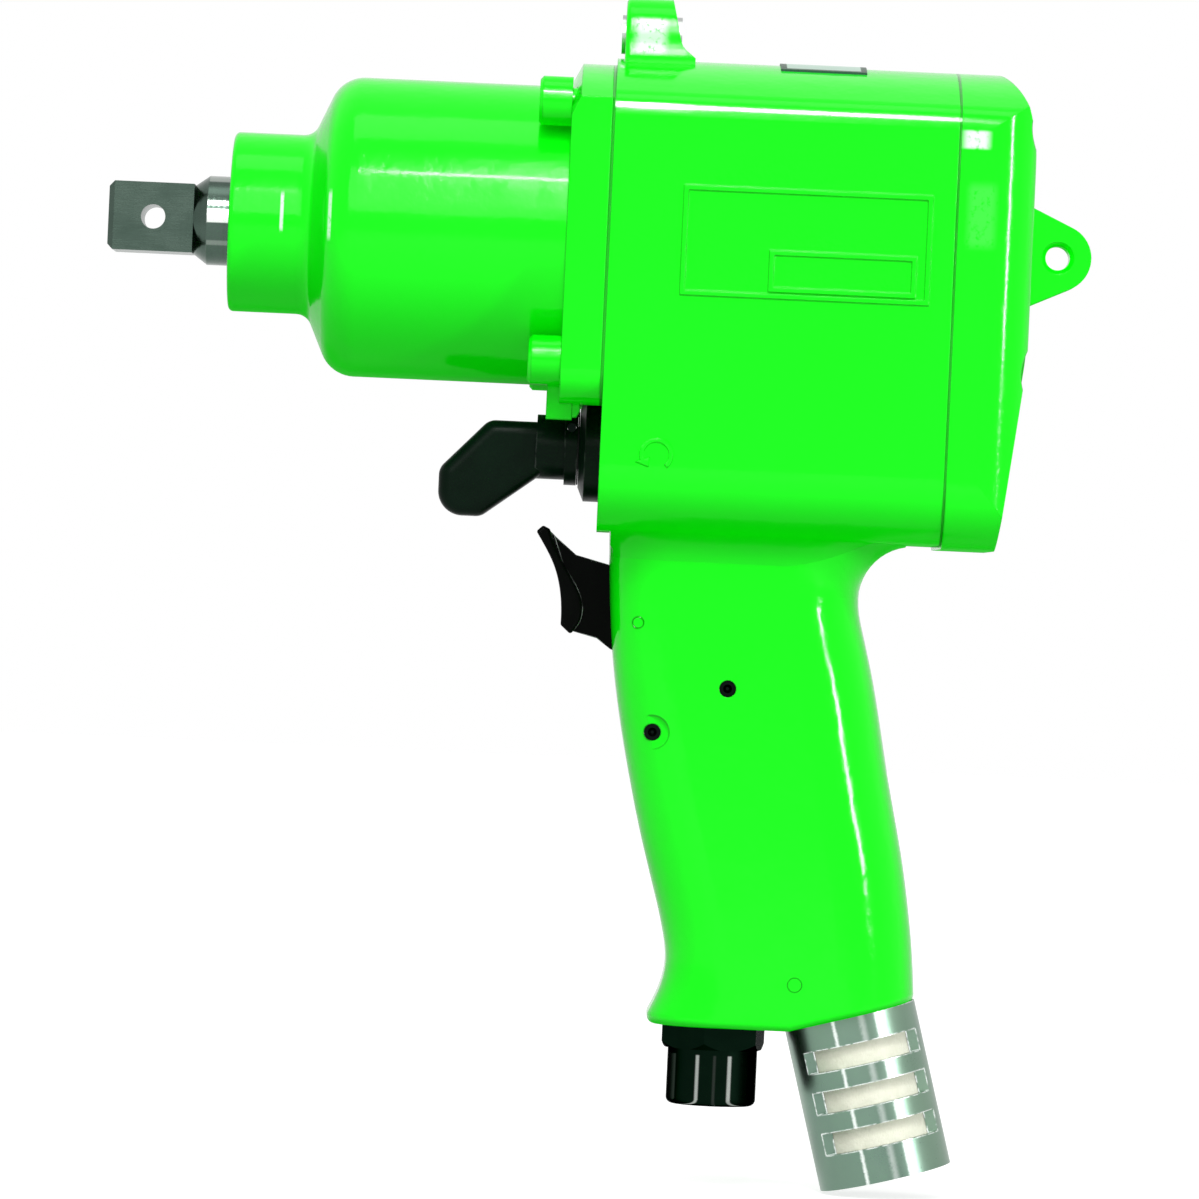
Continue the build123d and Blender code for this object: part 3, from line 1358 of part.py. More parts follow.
screen_top = grip_bottom + inlet_thread_length - moving_gap
with BuildPart() as inlet_screen:
    with BuildSketch(Plane.XY.offset(screen_top - screen_depth)):
        with Locations((inlet_x, 0)):
            Circle(inlet_bore_radius - seat_fit)
    extrude(amount=screen_depth)
    with BuildSketch(Plane.XY.offset(screen_top - screen_depth)):
        with Locations((inlet_x, 0)):
            Circle(inlet_bore_radius - seat_fit - screen_wall)
    extrude(amount=screen_depth - screen_wall, mode=Mode.SUBTRACT)
save(inlet_screen, "inlet_screen")

# Exhaust muffler: a slotted tube on a neck, with felt, end cap and snap ring
muffler_bore = muffler_radius - muffler_wall
cap_front = muffler_length - muffler_cap_inset - muffler_cap_thickness
snap_front = cap_front + muffler_cap_thickness
snap_ring_radius = muffler_bore + snap_ring_width / 2
with BuildPart() as muffler_body:
    with BuildSketch(muffler):
        Circle(muffler_radius)
    extrude(amount=muffler_length)
    with BuildSketch(muffler.offset(muffler_roof)):
        Circle(muffler_bore)
    extrude(amount=muffler_length, mode=Mode.SUBTRACT)
    for slot in range(muffler_slot_count):
        slot_top = muffler_top_band + slot * muffler_slot_pitch
        with BuildSketch(muffler.offset(slot_top)):
            with Locations(Rot(0, 0, muffler_turn)):
                Rectangle(3 * muffler_radius, 3 * muffler_radius)
                Rectangle(2 * muffler_web_half_width, 3 * muffler_radius, mode=Mode.SUBTRACT)
        extrude(amount=muffler_slot_height, mode=Mode.SUBTRACT)
    with BuildSketch(muffler):
        Circle(muffler_neck_radius)
    extrude(amount=-muffler_neck_length)
    with BuildSketch(muffler.offset(muffler_roof)):
        Circle(muffler_neck_bore)
    extrude(amount=-2 * muffler_neck_length, mode=Mode.SUBTRACT)
    with BuildSketch(muffler_side):
        with Locations((-muffler_pin_height, -muffler_pin_offset)):
            Circle(muffler_pin_radius + seat_fit)
    extrude(amount=grip_half_width, both=True, mode=Mode.SUBTRACT)
    with BuildSketch(muffler.offset(snap_front)):
        Circle(snap_ring_radius + seat_fit)
    extrude(amount=snap_ring_thickness + seat_fit, mode=Mode.SUBTRACT)
save(muffler_body, "muffler_body")

with BuildPart() as muffler_felt:
    with BuildSketch(muffler.offset(muffler_roof + seat_fit)):
        Circle(muffler_bore - 2 * seat_fit)
        Circle(muffler_neck_bore, mode=Mode.SUBTRACT)
    extrude(amount=cap_front - muffler_roof - 2 * seat_fit)
save(muffler_felt, "muffler_felt")

with BuildPart() as muffler_end_cap:
    with BuildSketch(muffler.offset(cap_front)):
        Circle(muffler_bore - seat_fit)
    extrude(amount=muffler_cap_thickness)
save(muffler_end_cap, "muffler_end_cap")

with BuildPart() as muffler_snap_ring:
    with BuildSketch(muffler.offset(snap_front)):
        Circle(snap_ring_radius)
        Circle(snap_ring_radius - snap_ring_width, mode=Mode.SUBTRACT)
        with Locations((0, snap_ring_radius)):
            Rectangle(2 * snap_ring_width, 4 * snap_ring_width, mode=Mode.SUBTRACT)
    extrude(amount=snap_ring_thickness)
save(muffler_snap_ring, "muffler_snap_ring")

with BuildPart() as muffler_pin:
    with BuildSketch(muffler_side):
        with Locations((-muffler_pin_height, -muffler_pin_offset)):
            Circle(muffler_pin_radius)
    extrude(amount=grip_half_width - seat_fit, both=True)
save(muffler_pin, "muffler_pin")
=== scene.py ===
"""Looks of a pistol-grip air impact wrench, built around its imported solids."""

import json
import math

import bmesh
import bpy
from mathutils import Matrix, Vector


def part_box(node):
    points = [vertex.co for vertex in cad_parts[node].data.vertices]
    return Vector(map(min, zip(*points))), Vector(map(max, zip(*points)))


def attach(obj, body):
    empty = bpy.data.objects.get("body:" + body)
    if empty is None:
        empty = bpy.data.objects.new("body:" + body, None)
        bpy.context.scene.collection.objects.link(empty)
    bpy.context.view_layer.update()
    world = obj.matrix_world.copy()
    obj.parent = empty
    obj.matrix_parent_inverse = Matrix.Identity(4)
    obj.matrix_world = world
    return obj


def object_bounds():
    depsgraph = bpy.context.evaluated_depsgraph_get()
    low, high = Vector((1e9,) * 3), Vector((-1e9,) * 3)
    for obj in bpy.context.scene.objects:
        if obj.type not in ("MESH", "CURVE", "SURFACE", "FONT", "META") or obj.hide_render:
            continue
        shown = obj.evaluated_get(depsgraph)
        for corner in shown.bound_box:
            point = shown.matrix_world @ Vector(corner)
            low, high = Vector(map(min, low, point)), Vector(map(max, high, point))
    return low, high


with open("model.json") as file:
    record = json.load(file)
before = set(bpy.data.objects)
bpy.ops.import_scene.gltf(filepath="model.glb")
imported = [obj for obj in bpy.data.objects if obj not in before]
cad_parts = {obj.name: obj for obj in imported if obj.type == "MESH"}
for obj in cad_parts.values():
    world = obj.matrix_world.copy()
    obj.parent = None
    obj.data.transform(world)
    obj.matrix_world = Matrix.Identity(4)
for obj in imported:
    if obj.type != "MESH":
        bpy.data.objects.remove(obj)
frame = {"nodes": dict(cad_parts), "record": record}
cad_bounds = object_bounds()
nodes = frame["nodes"]

MM = 0.001
# The front of the tool points along -X and its left side along -Y
BACK, LEFT, RIGHT, UP, DOWN = (1, 0, 0), (0, -1, 0), (0, 1, 0), (0, 0, 1), (0, 0, -1)


# ---------------------------------------------------------------- shader signals
class Signal:
    """A node socket that takes part in plain arithmetic; every operation adds a Math node."""

    def __init__(self, shading, socket):
        self.shading = shading
        self.socket = socket

    def _math(self, operation, first, second):
        return self.shading.node("ShaderNodeMath", {0: first, 1: second}, operation=operation)

    def __add__(self, other):
        return self._math("ADD", self, other)

    def __sub__(self, other):
        return self._math("SUBTRACT", self, other)

    def __mul__(self, other):
        return self._math("MULTIPLY", self, other)

    def __rsub__(self, other):
        return self._math("SUBTRACT", other, self)

    __radd__ = __add__
    __rmul__ = __mul__

    def above(self, edge, softness):
        """0 below edge, 1 above it, with a soft step between."""
        return self.shading.node(
            "ShaderNodeMapRange",
            {"Value": self, "From Min": edge - softness, "From Max": edge + softness},
            interpolation_type="SMOOTHSTEP",
        )

    def band(self, centre, half_width, softness):
        """1 in a band around centre, and 0 outside it."""
        inside = self.above(centre - half_width, softness)
        return inside - self.above(centre + half_width, softness)


class Shading:
    """A node tree under construction, with one method that makes every node."""

    def __init__(self, tree):
        self.tree = tree

    def connect(self, value, socket):
        """Link a signal to a socket, or set the socket to a plain value."""
        if isinstance(value, Signal):
            self.tree.links.new(value.socket, socket)
        else:
            socket.default_value = value

    def node(self, kind, inputs=None, output=0, **settings):
        """Add a node and return its output; sockets go by index, identifier or name."""
        made = self.tree.nodes.new(kind)
        for key, value in settings.items():
            setattr(made, key, value)
        for name, value in (inputs or {}).items():
            self.connect(value, self.find(made.inputs, name))
        return Signal(self, self.find(made.outputs, output))

    @staticmethod
    def find(sockets, name):
        if isinstance(name, int):
            return sockets[name]
        return next(s for s in sockets if name in (s.identifier, s.name))


class Finish(Shading):
    """A material under construction."""

    def __init__(self, name, **settings):
        self.material = bpy.data.materials.new(name)
        self.material.use_nodes = True
        super().__init__(self.material.node_tree)
        self.shader = self.tree.nodes["Principled BSDF"]
        self.place = self.node("ShaderNodeTexCoord", output="Object")
        self.set(**settings)

    def set(self, **settings):
        """Set the shader's own sockets; underscores stand for spaces in their names."""
        for name, value in settings.items():
            self.connect(value, self.shader.inputs[name.replace("_", " ")])

    def noise(self, size_mm, detail=2.0, roughness=0.5, stretch=(1, 1, 1)):
        """Cloudy noise with grains of about size_mm, from 0 to 1."""
        place = self.node(
            "ShaderNodeVectorMath", {0: self.place, 1: stretch}, operation="MULTIPLY"
        )
        scale = 1 / (size_mm * MM)
        inputs = {"Vector": place, "Scale": scale, "Detail": detail, "Roughness": roughness}
        return self.node("ShaderNodeTexNoise", inputs)

    def along(self, direction, origin=(0, 0, 0)):
        """Distance from origin along a direction, in millimetres."""
        unit = Vector(direction).normalized() / MM
        offset = -unit.dot(Vector(origin) * MM)
        inputs = {0: self.place, 1: tuple(unit)}
        return self.node("ShaderNodeVectorMath", inputs, "Value", operation="DOT_PRODUCT") + offset

    def mix(self, mask, low, high):
        """Colour low where mask is 0 and high where it is 1."""
        return self.node(
            "ShaderNodeMix",
            {"Factor_Float": mask, "A_Color": low, "B_Color": high},
            "Result_Color",
            data_type="RGBA",
        )

    def bump(self, *layers, base=None):
        """Stack bump layers, each (height signal, depth in mm), on any base normal."""
        normal = base
        for height, depth in layers:
            inputs = {"Height": height, "Distance": depth * MM, "Strength": 1.0}
            if normal is not None:
                inputs["Normal"] = normal
            normal = self.node("ShaderNodeBump", inputs)
        self.set(Normal=normal)

    def cover(self, mask, tone):
        """Cover the shader with a matt tone where mask is 1."""
        matt = self.node("ShaderNodeBsdfDiffuse", {"Color": tone})
        glossy = Signal(self, self.shader.outputs["BSDF"])
        both = self.node("ShaderNodeMixShader", {0: mask, 1: glossy, 2: matt})
        self.connect(both, self.tree.nodes["Material Output"].inputs["Surface"])

    def facing(self, direction):
        """The cosine between the surface's true normal and a direction."""
        normal = self.node("ShaderNodeNewGeometry", output="Normal")
        inputs = {0: normal, 1: direction}
        return self.node("ShaderNodeVectorMath", inputs, "Value", operation="DOT_PRODUCT")

    def rounded(self, radius_mm):
        """The normal that the surface would have with its sharp edges rounded."""
        return self.node("ShaderNodeBevel", {"Radius": radius_mm * MM}, samples=6)

    def edges(self, rounded, bend, softness):
        """1 on sharp edges, where the rounded normal bends away from the true one."""
        return (1.0 - self.facing(rounded)).above(bend, softness)


def colour(red, green, blue):
    return (red, green, blue, 1.0)


WHITE, BLACK = colour(1, 1, 1), colour(0, 0, 0)

# ---------------------------------------------------------------- enamel
# Painted highlights on the green paint.
# Each is ((x, half), (z, half), strength, whether it shows only square on to a viewer), in mm
PAINTED_GLINTS = (
    ((32.4, 0.3), (1.5, 3.4), 1.0, False),  # the nose
    ((41.5, 0.3), (0.9, 4.2), 0.8, False),  # the shoulder behind it
    ((158.4, 2.2), (19.5, 1.6), 1.0, True),  # the rear cover, high up
    ((159.9, 2.4), (5.7, 5.6), 0.06, True),  # the rear cover, below that
    ((98.6, 2.7), (37.2, 3.2), 0.8, True),  # the top lug
)
# The pale tone of the painted highlights
PAINTED_GLINT_TONE = colour(0.72, 1.0, 0.76)

# The bright line along the head's upper edge, as bands of (centre, half width, softness)
CREASE_TILT = (0.34, 0.14, 0.05)  # the cosine to UP
CREASE_HEIGHT = (23.8, 1.4, 0.4)  # in mm
CREASE_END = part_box("rear_cover")[0][0] / MM

COAT, CREASE_COAT = 0.14, 0.75
ENAMEL_ROUNDING = 0.45
CASTING_SKIN_DEPTH, ORANGE_PEEL_DEPTH = 0.10, 0.04


def painted_glint_mask(paint, grazing):
    """Painted highlights: speckled pale glints on the left side."""
    side = paint.facing(LEFT).above(0.4, 0.2)
    speckle = paint.noise(0.9, 3).above(0.36, 0.14)
    square_on = 1.0 - grazing.above(0.1, 0.07)
    back, up = paint.along(BACK), paint.along(UP)
    glints = 0.0
    for (x, half_x), (z, half_z), strength, only_square_on in PAINTED_GLINTS:
        spot = strength * back.band(x, half_x, 0.4 * half_x)
        spot = spot * up.band(z, half_z, 0.2 * half_z)
        glints = glints + (spot * square_on if only_square_on else spot)
    return side * glints * speckle


def crease_mask(paint):
    """The bright line along the head's upper edge, as far as the rear cover."""
    crease = paint.facing(UP).band(*CREASE_TILT) * paint.along(UP).band(*CREASE_HEIGHT)
    return crease * (1.0 - paint.along(BACK).above(CREASE_END, 0.2))


def enamel(name, body, shade, rim, underside):
    """Gloss enamel over a sand casting: faint orange peel over a slightly uneven skin.

    shade and body drift into each other. rim is the tone of painted shade on sharp edges and on
    what turns away or faces down, and underside is the matt tone of painted shade on what does
    both.
    """
    paint = Finish(name, IOR=1.3, Coat_IOR=1.5, Coat_Roughness=0.06, Specular_IOR_Level=0.26)
    drift = paint.noise(24, 3)
    grazing = paint.node("ShaderNodeLayerWeight", {"Blend": 0.35}, "Facing")
    turned_away = grazing.above(0.62, 0.4)
    under = paint.facing(DOWN).above(0.5, 0.42)
    rounded = paint.rounded(ENAMEL_ROUNDING)
    edges = paint.edges(rounded, 0.035, 0.03)

    # Painted shade: the rim tone where the surface turns away from the viewer, where it faces down
    # and on sharp edges
    darker = turned_away * 0.6 + under * 0.4
    tone = paint.mix(darker, paint.mix(drift, shade, body), rim)
    tone = paint.mix(edges * 0.55, tone, rim)
    # Painted highlights: the glints
    tone = paint.mix(painted_glint_mask(paint, grazing), tone, PAINTED_GLINT_TONE)
    coat = COAT + CREASE_COAT * crease_mask(paint)
    paint.set(
        Base_Color=tone,
        Roughness=0.09 + 0.08 * drift,
        Coat_Weight=coat * (1.0 - under) * (1.0 - turned_away),
    )
    # Painted shade: a matt cover in the underside tone on what faces down and turns away
    below = paint.facing(DOWN).above(0.4, 0.35)
    paint.cover(0.92 * below * grazing.above(0.33, 0.25), underside)
    casting_skin = (paint.noise(7, 2), CASTING_SKIN_DEPTH)
    orange_peel = (paint.noise(1.3, 3), ORANGE_PEEL_DEPTH)
    paint.bump(casting_skin, orange_peel, base=rounded)
    return paint.material


# ---------------------------------------------------------------- metals
# The tone of painted highlights on turned steel
PAINTED_GLEAM_TONE = colour(0.9, 0.95, 0.9)
# A wave texture repeats after this many metres at a scale of 1
WAVE_PERIOD = math.tau / 20


def painted_gleam_mask(steel, across, lines, reach):
    """Painted highlights: lines along a turned part, each (cosine to across, half width,
    strength).

    reach is the part that has them, as (direction, centre, half width) in mm.
    """
    cosine = steel.facing(across)
    direction, centre, half_width = reach
    painted_gleams = sum(strength * cosine.band(at, half, 0.02) for at, half, strength in lines)
    return painted_gleams * steel.along(direction).band(centre, half_width, 0.15)


def forged_steel(name, tone, grain, roughness, ring_pitch=None, painted_gleams=None, rim=WHITE):
    """Steel with fine grinding marks, and with turned rings and painted highlights where given.

    Painted highlights take the gleam mask's last three arguments; rim tints grazing reflections.
    """
    steel = Finish(name, Metallic=1.0, Specular_Tint=rim)
    scratches = steel.noise(0.22, 3, 0.6, (0.06, 1, 1))
    clouds = steel.noise(5, 3)
    body = steel.mix(clouds, tone, grain)
    # Painted highlights along the turned part
    if painted_gleams:
        body = steel.mix(painted_gleam_mask(steel, *painted_gleams), body, PAINTED_GLEAM_TONE)
    steel.set(
        Base_Color=body,
        Roughness=roughness + 0.16 * (scratches - 0.5) + 0.08 * (clouds - 0.5),
    )
    layers = [(scratches, 0.006)]
    if ring_pitch:
        scale = WAVE_PERIOD / (ring_pitch * MM)
        inputs = {"Vector": steel.place, "Scale": scale, "Distortion": 0.4}
        rings = steel.node("ShaderNodeTexWave", inputs, "Fac", bands_direction="X")
        layers.append((rings, 0.01))
    steel.bump(*layers)
    return steel.material


# Painted highlights as streaks, each (strength, (place across the bar, half width, softness))
# in mm, and a pale band towards its rear as a painted reflection
PAINTED_STREAKS = (
    (1.0, (-3.6, 0.28, 0.25)),
    (0.4, (1.7, 0.5, 0.5)),
    (0.6, (4.6, 0.45, 0.3)),
)
PAINTED_REFLECTION_BAND = (9.6, 2.4, 1.6)


def drawn_aluminium(name, across, centre, slotted, darker, haze_tone, bright):
    """Drawn aluminium bar: painted highlights as streaks along its length, and a thin oxide haze.

    slotted: the part with painted highlights on its cut edges, as (direction, centre, half width)
    in mm.
    """
    metal = Finish(name, Metallic=1.0)
    place = metal.along(across, centre)
    haze = metal.noise(9, 3)
    grain = metal.noise(0.4, 2, 0.6)
    wobble = place + 0.5 * (grain - 0.5)
    painted_streaks = sum(strength * wobble.band(*streak) for strength, streak in PAINTED_STREAKS)
    # The pale band in the haze is a painted reflection
    body = metal.mix(0.6 * haze + 0.4 * place.band(*PAINTED_REFLECTION_BAND), darker, haze_tone)
    # Painted highlights: the streaks
    body = metal.mix(painted_streaks * (0.6 + 0.4 * grain), body, bright)

    direction, middle, half_width = slotted
    # Painted highlights on the slots' cut edges
    cut_edges = metal.edges(metal.rounded(0.4), 0.03, 0.025) * metal.noise(1.2, 2).above(0.45, 0.1)
    cut_edges = cut_edges * metal.along(direction).band(middle, half_width, 0.3)
    metal.set(
        Base_Color=metal.mix(cut_edges, body, bright),
        Roughness=0.24 + 0.14 * grain + 0.1 * (haze - 0.5),
    )
    metal.bump((grain, 0.008))
    return metal.material


def bordered_plate(name, box, border_width, metal_tone, haze_tone, border):
    """A bare rating plate: brushed sheet inside a thin printed border."""
    sheet = Finish(name, Metallic=0.9)
    brushed = sheet.noise(0.3, 3, 0.6, (1, 0.05, 1))
    haze = sheet.noise(6, 2)
    inside = 1.0
    for axis, direction in enumerate((BACK, RIGHT)):
        low, high = box[0][axis] / MM, box[1][axis] / MM
        middle, reach = (low + high) / 2, (high - low) / 2 - border_width
        inside = inside * sheet.along(direction).band(middle, reach, 0.12)
    bare = sheet.mix(0.5 * brushed + 0.5 * haze, metal_tone, haze_tone)
    sheet.set(Base_Color=sheet.mix(inside, border, bare), Roughness=0.3 + 0.2 * brushed)
    sheet.bump((brushed, 0.005))
    return sheet.material


# ---------------------------------------------------------------- blacks, felt, rubber and resin
def black_casting(name, tone, sheen, bare):
    """Satin black stove enamel over a small rough casting, rubbed thin on its edges."""
    black = Finish(name, IOR=1.3, Specular_IOR_Level=0.12)
    skin = black.noise(1.1, 3)
    worn = black.noise(6, 3)
    edges = black.edges(black.rounded(0.35), 0.03, 0.03)
    rubbed = edges * black.noise(2.5, 2).above(0.52, 0.1)
    black.set(
        Base_Color=black.mix(rubbed * 0.5, black.mix(worn, tone, sheen), bare),
        Roughness=0.24 + 0.16 * skin,
    )
    black.bump((skin, 0.03), (black.noise(4, 2), 0.06))
    return black.material


def moulded_black(name, tone, rub, bare):
    """Moulded plastic, pale along its edges: finger wear and, partly, a painted highlight."""
    plastic = Finish(name, IOR=1.2, Specular_IOR_Level=0.1)
    grain = plastic.noise(0.5, 2)
    rubbed = plastic.noise(7, 2)
    # Pale edges, partly a painted highlight
    edges = plastic.edges(plastic.rounded(0.3), 0.03, 0.025)
    edges = edges * plastic.noise(5, 2).above(0.5, 0.1)
    plastic.set(
        Base_Color=plastic.mix(edges, plastic.mix(rubbed, tone, rub), bare),
        Roughness=0.16 + 0.12 * grain + 0.1 * (rubbed - 0.5),
    )
    plastic.bump((grain, 0.006))
    return plastic.material


def pressed_felt(name, light, dark):
    """Pressed wool felt: matted fibres in every direction."""
    felt = Finish(name, Specular_IOR_Level=0.1, Sheen_Weight=0.3, Sheen_Roughness=0.5)
    fibres = felt.noise(0.35, 4, 0.7, (1, 1, 0.35))
    mats = felt.noise(2.2, 3)
    tone = felt.mix(fibres * 0.6 + mats * 0.4, dark, light)
    felt.set(Base_Color=tone, Roughness=0.85 + 0.1 * mats)
    felt.bump((mats, 0.25), (fibres, 0.12))
    return felt.material


def soft_rubber(name, tone, dust):
    """Seal rubber with a dusty bloom."""
    rubber = Finish(name, Specular_IOR_Level=0.3)
    bloom = rubber.noise(2, 3)
    rubber.set(Base_Color=rubber.mix(bloom, tone, dust), Roughness=0.6 + 0.25 * bloom)
    rubber.bump((rubber.noise(0.4, 2), 0.01))
    return rubber.material


def laminate(name, light, dark):
    """Resin laminate for the vanes, with its layers showing."""
    resin = Finish(name, Specular_IOR_Level=0.4)
    layers = resin.noise(0.6, 3, 0.5, (0.1, 1, 1))
    resin.set(Base_Color=resin.mix(layers, dark, light), Roughness=0.35 + 0.2 * layers)
    resin.bump((layers, 0.01))
    return resin.material


# ---------------------------------------------------------------- finishes by slot and by node
MUFFLER_SEAT = (143.5, 0, -141.3)
MUFFLER_ACROSS = (0.966, 0, 0.26)
MUFFLER_DOWN = Vector((0.26, 0, -0.966)).normalized()
MUFFLER_END = max(v.co.dot(MUFFLER_DOWN) for v in nodes["muffler_body"].data.vertices) / MM
ANVIL_FRONT = min(v.co.x for v in nodes["anvil"].data.vertices) / MM
# Tone, grain, roughness and the pitch of the turned rings in mm
PHOSPHATED = (colour(0.045, 0.075, 0.058), colour(0.08, 0.115, 0.095), 0.26, 0.987)

# In both enamels, rim and underside are tones of painted shade
GREEN = enamel(
    "green_enamel",
    body=colour(0.003, 0.94, 0.006),
    shade=colour(0.002, 0.88, 0.003),
    rim=colour(0.001, 0.4, 0.001),
    underside=colour(0.003, 0.88, 0.003),
)
PAINTED_JOINT = enamel(
    "painted_joint",
    body=colour(0.004, 0.5, 0.006),
    shade=colour(0.003, 0.4, 0.004),
    rim=colour(0.002, 0.2, 0.002),
    underside=colour(0.002, 0.3, 0.002),
)
FINISHES = {
    "green_casting": GREEN,
    "green_fastener": GREEN,
    "steel": forged_steel(
        "ground_steel", colour(0.42, 0.44, 0.43), colour(0.5, 0.52, 0.51), 0.3
    ),
    "dark_steel": forged_steel("phosphated_steel", *PHOSPHATED),
    "aluminium": drawn_aluminium(
        "drawn_aluminium",
        MUFFLER_ACROSS,
        MUFFLER_SEAT,
        slotted=(MUFFLER_DOWN, MUFFLER_END - 16.5, 14.5),
        darker=colour(0.13, 0.2, 0.165),
        haze_tone=colour(0.22, 0.33, 0.24),
        # bright is the tone of the painted highlights
        bright=colour(0.86, 0.9, 0.88),
    ),
    "bronze": forged_steel(
        "bearing_bronze", colour(0.45, 0.27, 0.1), colour(0.6, 0.38, 0.16), 0.34
    ),
    "seal_rubber": soft_rubber(
        "seal_rubber", tone=colour(0.008, 0.009, 0.008), dust=colour(0.03, 0.032, 0.03)
    ),
    "vane_laminate": laminate(
        "vane_laminate", light=colour(0.32, 0.15, 0.06), dark=colour(0.18, 0.08, 0.03)
    ),
    "black_cast": black_casting(
        "black_casting",
        tone=colour(0.0004, 0.004, 0.0015),
        sheen=colour(0.002, 0.011, 0.005),
        bare=colour(0.09, 0.1, 0.095),
    ),
    "black_plastic": moulded_black(
        "black_plastic",
        tone=colour(0.0004, 0.0006, 0.0005),
        rub=colour(0.002, 0.0025, 0.002),
        # bare is the pale tone of the edges, partly finger wear and partly a painted highlight
        bare=colour(0.3, 0.32, 0.31),
    ),
    "black_steel": forged_steel(
        "blackened_steel", colour(0.003, 0.006, 0.0045), colour(0.006, 0.01, 0.008), 0.24
    ),
    "felt": pressed_felt(
        "exhaust_felt", light=colour(0.97, 0.96, 0.84), dark=colour(0.76, 0.75, 0.6)
    ),
}
# Nodes with painted highlights, or printed, blackened, or painted over with the castings
NODE_FINISHES = {
    "anvil": forged_steel(
        "painted_neck_highlight_steel",
        *PHOSPHATED,
        # Painted highlights on the drive's neck
        painted_gleams=(
            UP,
            ((0.07, 0.15, 0.85), (0.36, 0.05, 1.0), (-0.53, 0.05, 0.12), (0.95, 0.1, 0.3)),
            (BACK, ANVIL_FRONT + 20.6, 2.3),
        ),
    ),
    "inlet_bushing": forged_steel(
        "blackened_inlet",
        colour(0.001, 0.005, 0.0025),
        colour(0.003, 0.009, 0.005),
        0.24,
        # Painted highlights on the inlet
        painted_gleams=(
            BACK,
            ((-0.34, 0.035, 0.32), (0.04, 0.03, 0.02), (0.375, 0.04, 0.28), (-0.92, 0.1, 0.04)),
            (UP, -155.2, 5.2),
        ),
        rim=colour(0.08, 0.1, 0.09),
    ),
    "top_plate": bordered_plate(
        "rating_plate",
        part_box("top_plate"),
        border_width=1.1,
        metal_tone=colour(0.38, 0.56, 0.44),
        haze_tone=colour(0.55, 0.7, 0.62),
        border=colour(0.02, 0.07, 0.035),
    ),
    "reverse_valve": FINISHES["black_steel"],
    "reverse_lever_pin": FINISHES["black_steel"],
    "grip_roll_pins": FINISHES["black_steel"],
    "case_gasket": PAINTED_JOINT,
    "rear_gasket": PAINTED_JOINT,
    "trigger_guide_pin": GREEN,
}
for part in frame["record"]["subparts"]:
    mesh = nodes[part["node"]].data
    mesh.materials.clear()
    mesh.materials.append(NODE_FINISHES.get(part["node"], FINISHES[part["material_slot"]]))


# ---------------------------------------------------------------- small pieces
SAME_PLACE = 1e-7  # in metres


def placed(name, maker, body, material):
    """Turn a finished bmesh into a piece that rides on a body."""
    bmesh.ops.recalc_face_normals(maker, faces=maker.faces)
    mesh = bpy.data.meshes.new(name)
    maker.to_mesh(mesh)
    maker.free()
    mesh.materials.append(material)
    piece = bpy.data.objects.new(name, mesh)
    bpy.context.scene.collection.objects.link(piece)
    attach(piece, body)


def prism(name, outline, near, far, round_off, body, material):
    """A flat piece with an outline in the side plane, from y = near to y = far, in mm.

    The edges of its far face are rounded.
    """
    maker = bmesh.new()
    ring = [maker.verts.new((x * MM, near * MM, z * MM)) for x, z in outline]
    face = maker.faces.new(ring)
    grown = bmesh.ops.extrude_face_region(maker, geom=[face])["geom"]
    ends = [item for item in grown if isinstance(item, bmesh.types.BMVert)]
    bmesh.ops.translate(maker, verts=ends, vec=(0, (far - near) * MM, 0))
    rims = [e for e in maker.edges if all(abs(v.co.y - far * MM) < SAME_PLACE for v in e.verts)]
    bmesh.ops.bevel(
        maker, geom=rims, offset=round_off * MM, segments=2, profile=0.6, affect="EDGES"
    )
    placed(name, maker, body, material)


def turned(name, origin, axis, profile, body, material, sides=40, hollow=False):
    """A piece turned about an axis from (radius, distance along it) points, in mm."""
    basis = Vector(axis).to_track_quat("Z", "Y").to_matrix()
    maker = bmesh.new()
    rings = []
    for radius, along in profile:
        ring = []
        for step in range(sides):
            angle = math.tau * step / sides
            spot = Vector((radius * math.cos(angle), radius * math.sin(angle), along))
            ring.append(maker.verts.new((Vector(origin) + basis @ spot) * MM))
        rings.append(ring)
    if hollow:
        rings.append(rings[0])
    else:
        maker.faces.new(rings[0])
        maker.faces.new(rings[-1])
    for low, high in zip(rings, rings[1:]):
        for step in range(sides):
            after = (step + 1) % sides
            maker.faces.new((low[step], low[after], high[after], high[step]))
    placed(name, maker, body, material)


def turning_arrow(centre, radius, width, start, sweep, head, steps=18):
    """The outline of an arrow bent round a centre, with its head at the end of the sweep."""

    def place(reach, angle):
        turn = math.radians(angle)
        return centre[0] + reach * math.cos(turn), centre[1] + reach * math.sin(turn)

    angles = [start + sweep * step / steps for step in range(steps + 1)]
    outer = [place(radius + width / 2, angle) for angle in angles]
    inner = [place(radius - width / 2, angle) for angle in reversed(angles)]
    end = start + sweep
    tip = end + math.copysign(math.degrees(1.3 * head / radius), sweep)
    point = [place(radius + head, end), place(radius, tip), place(radius - head, end)]
    return outer + point + inner


# A raised arrow cast beside the reversing lever, in place of a letter
ARROW_FOOT, ARROW_FACE = -31.6, -32.45
prism(
    "direction_arrow",
    turning_arrow(centre=(102.9, -40.2), radius=2.7, width=0.9, start=-50, sweep=250, head=1.5),
    ARROW_FOOT,
    ARROW_FACE,
    0.28,
    "housing",
    GREEN,
)

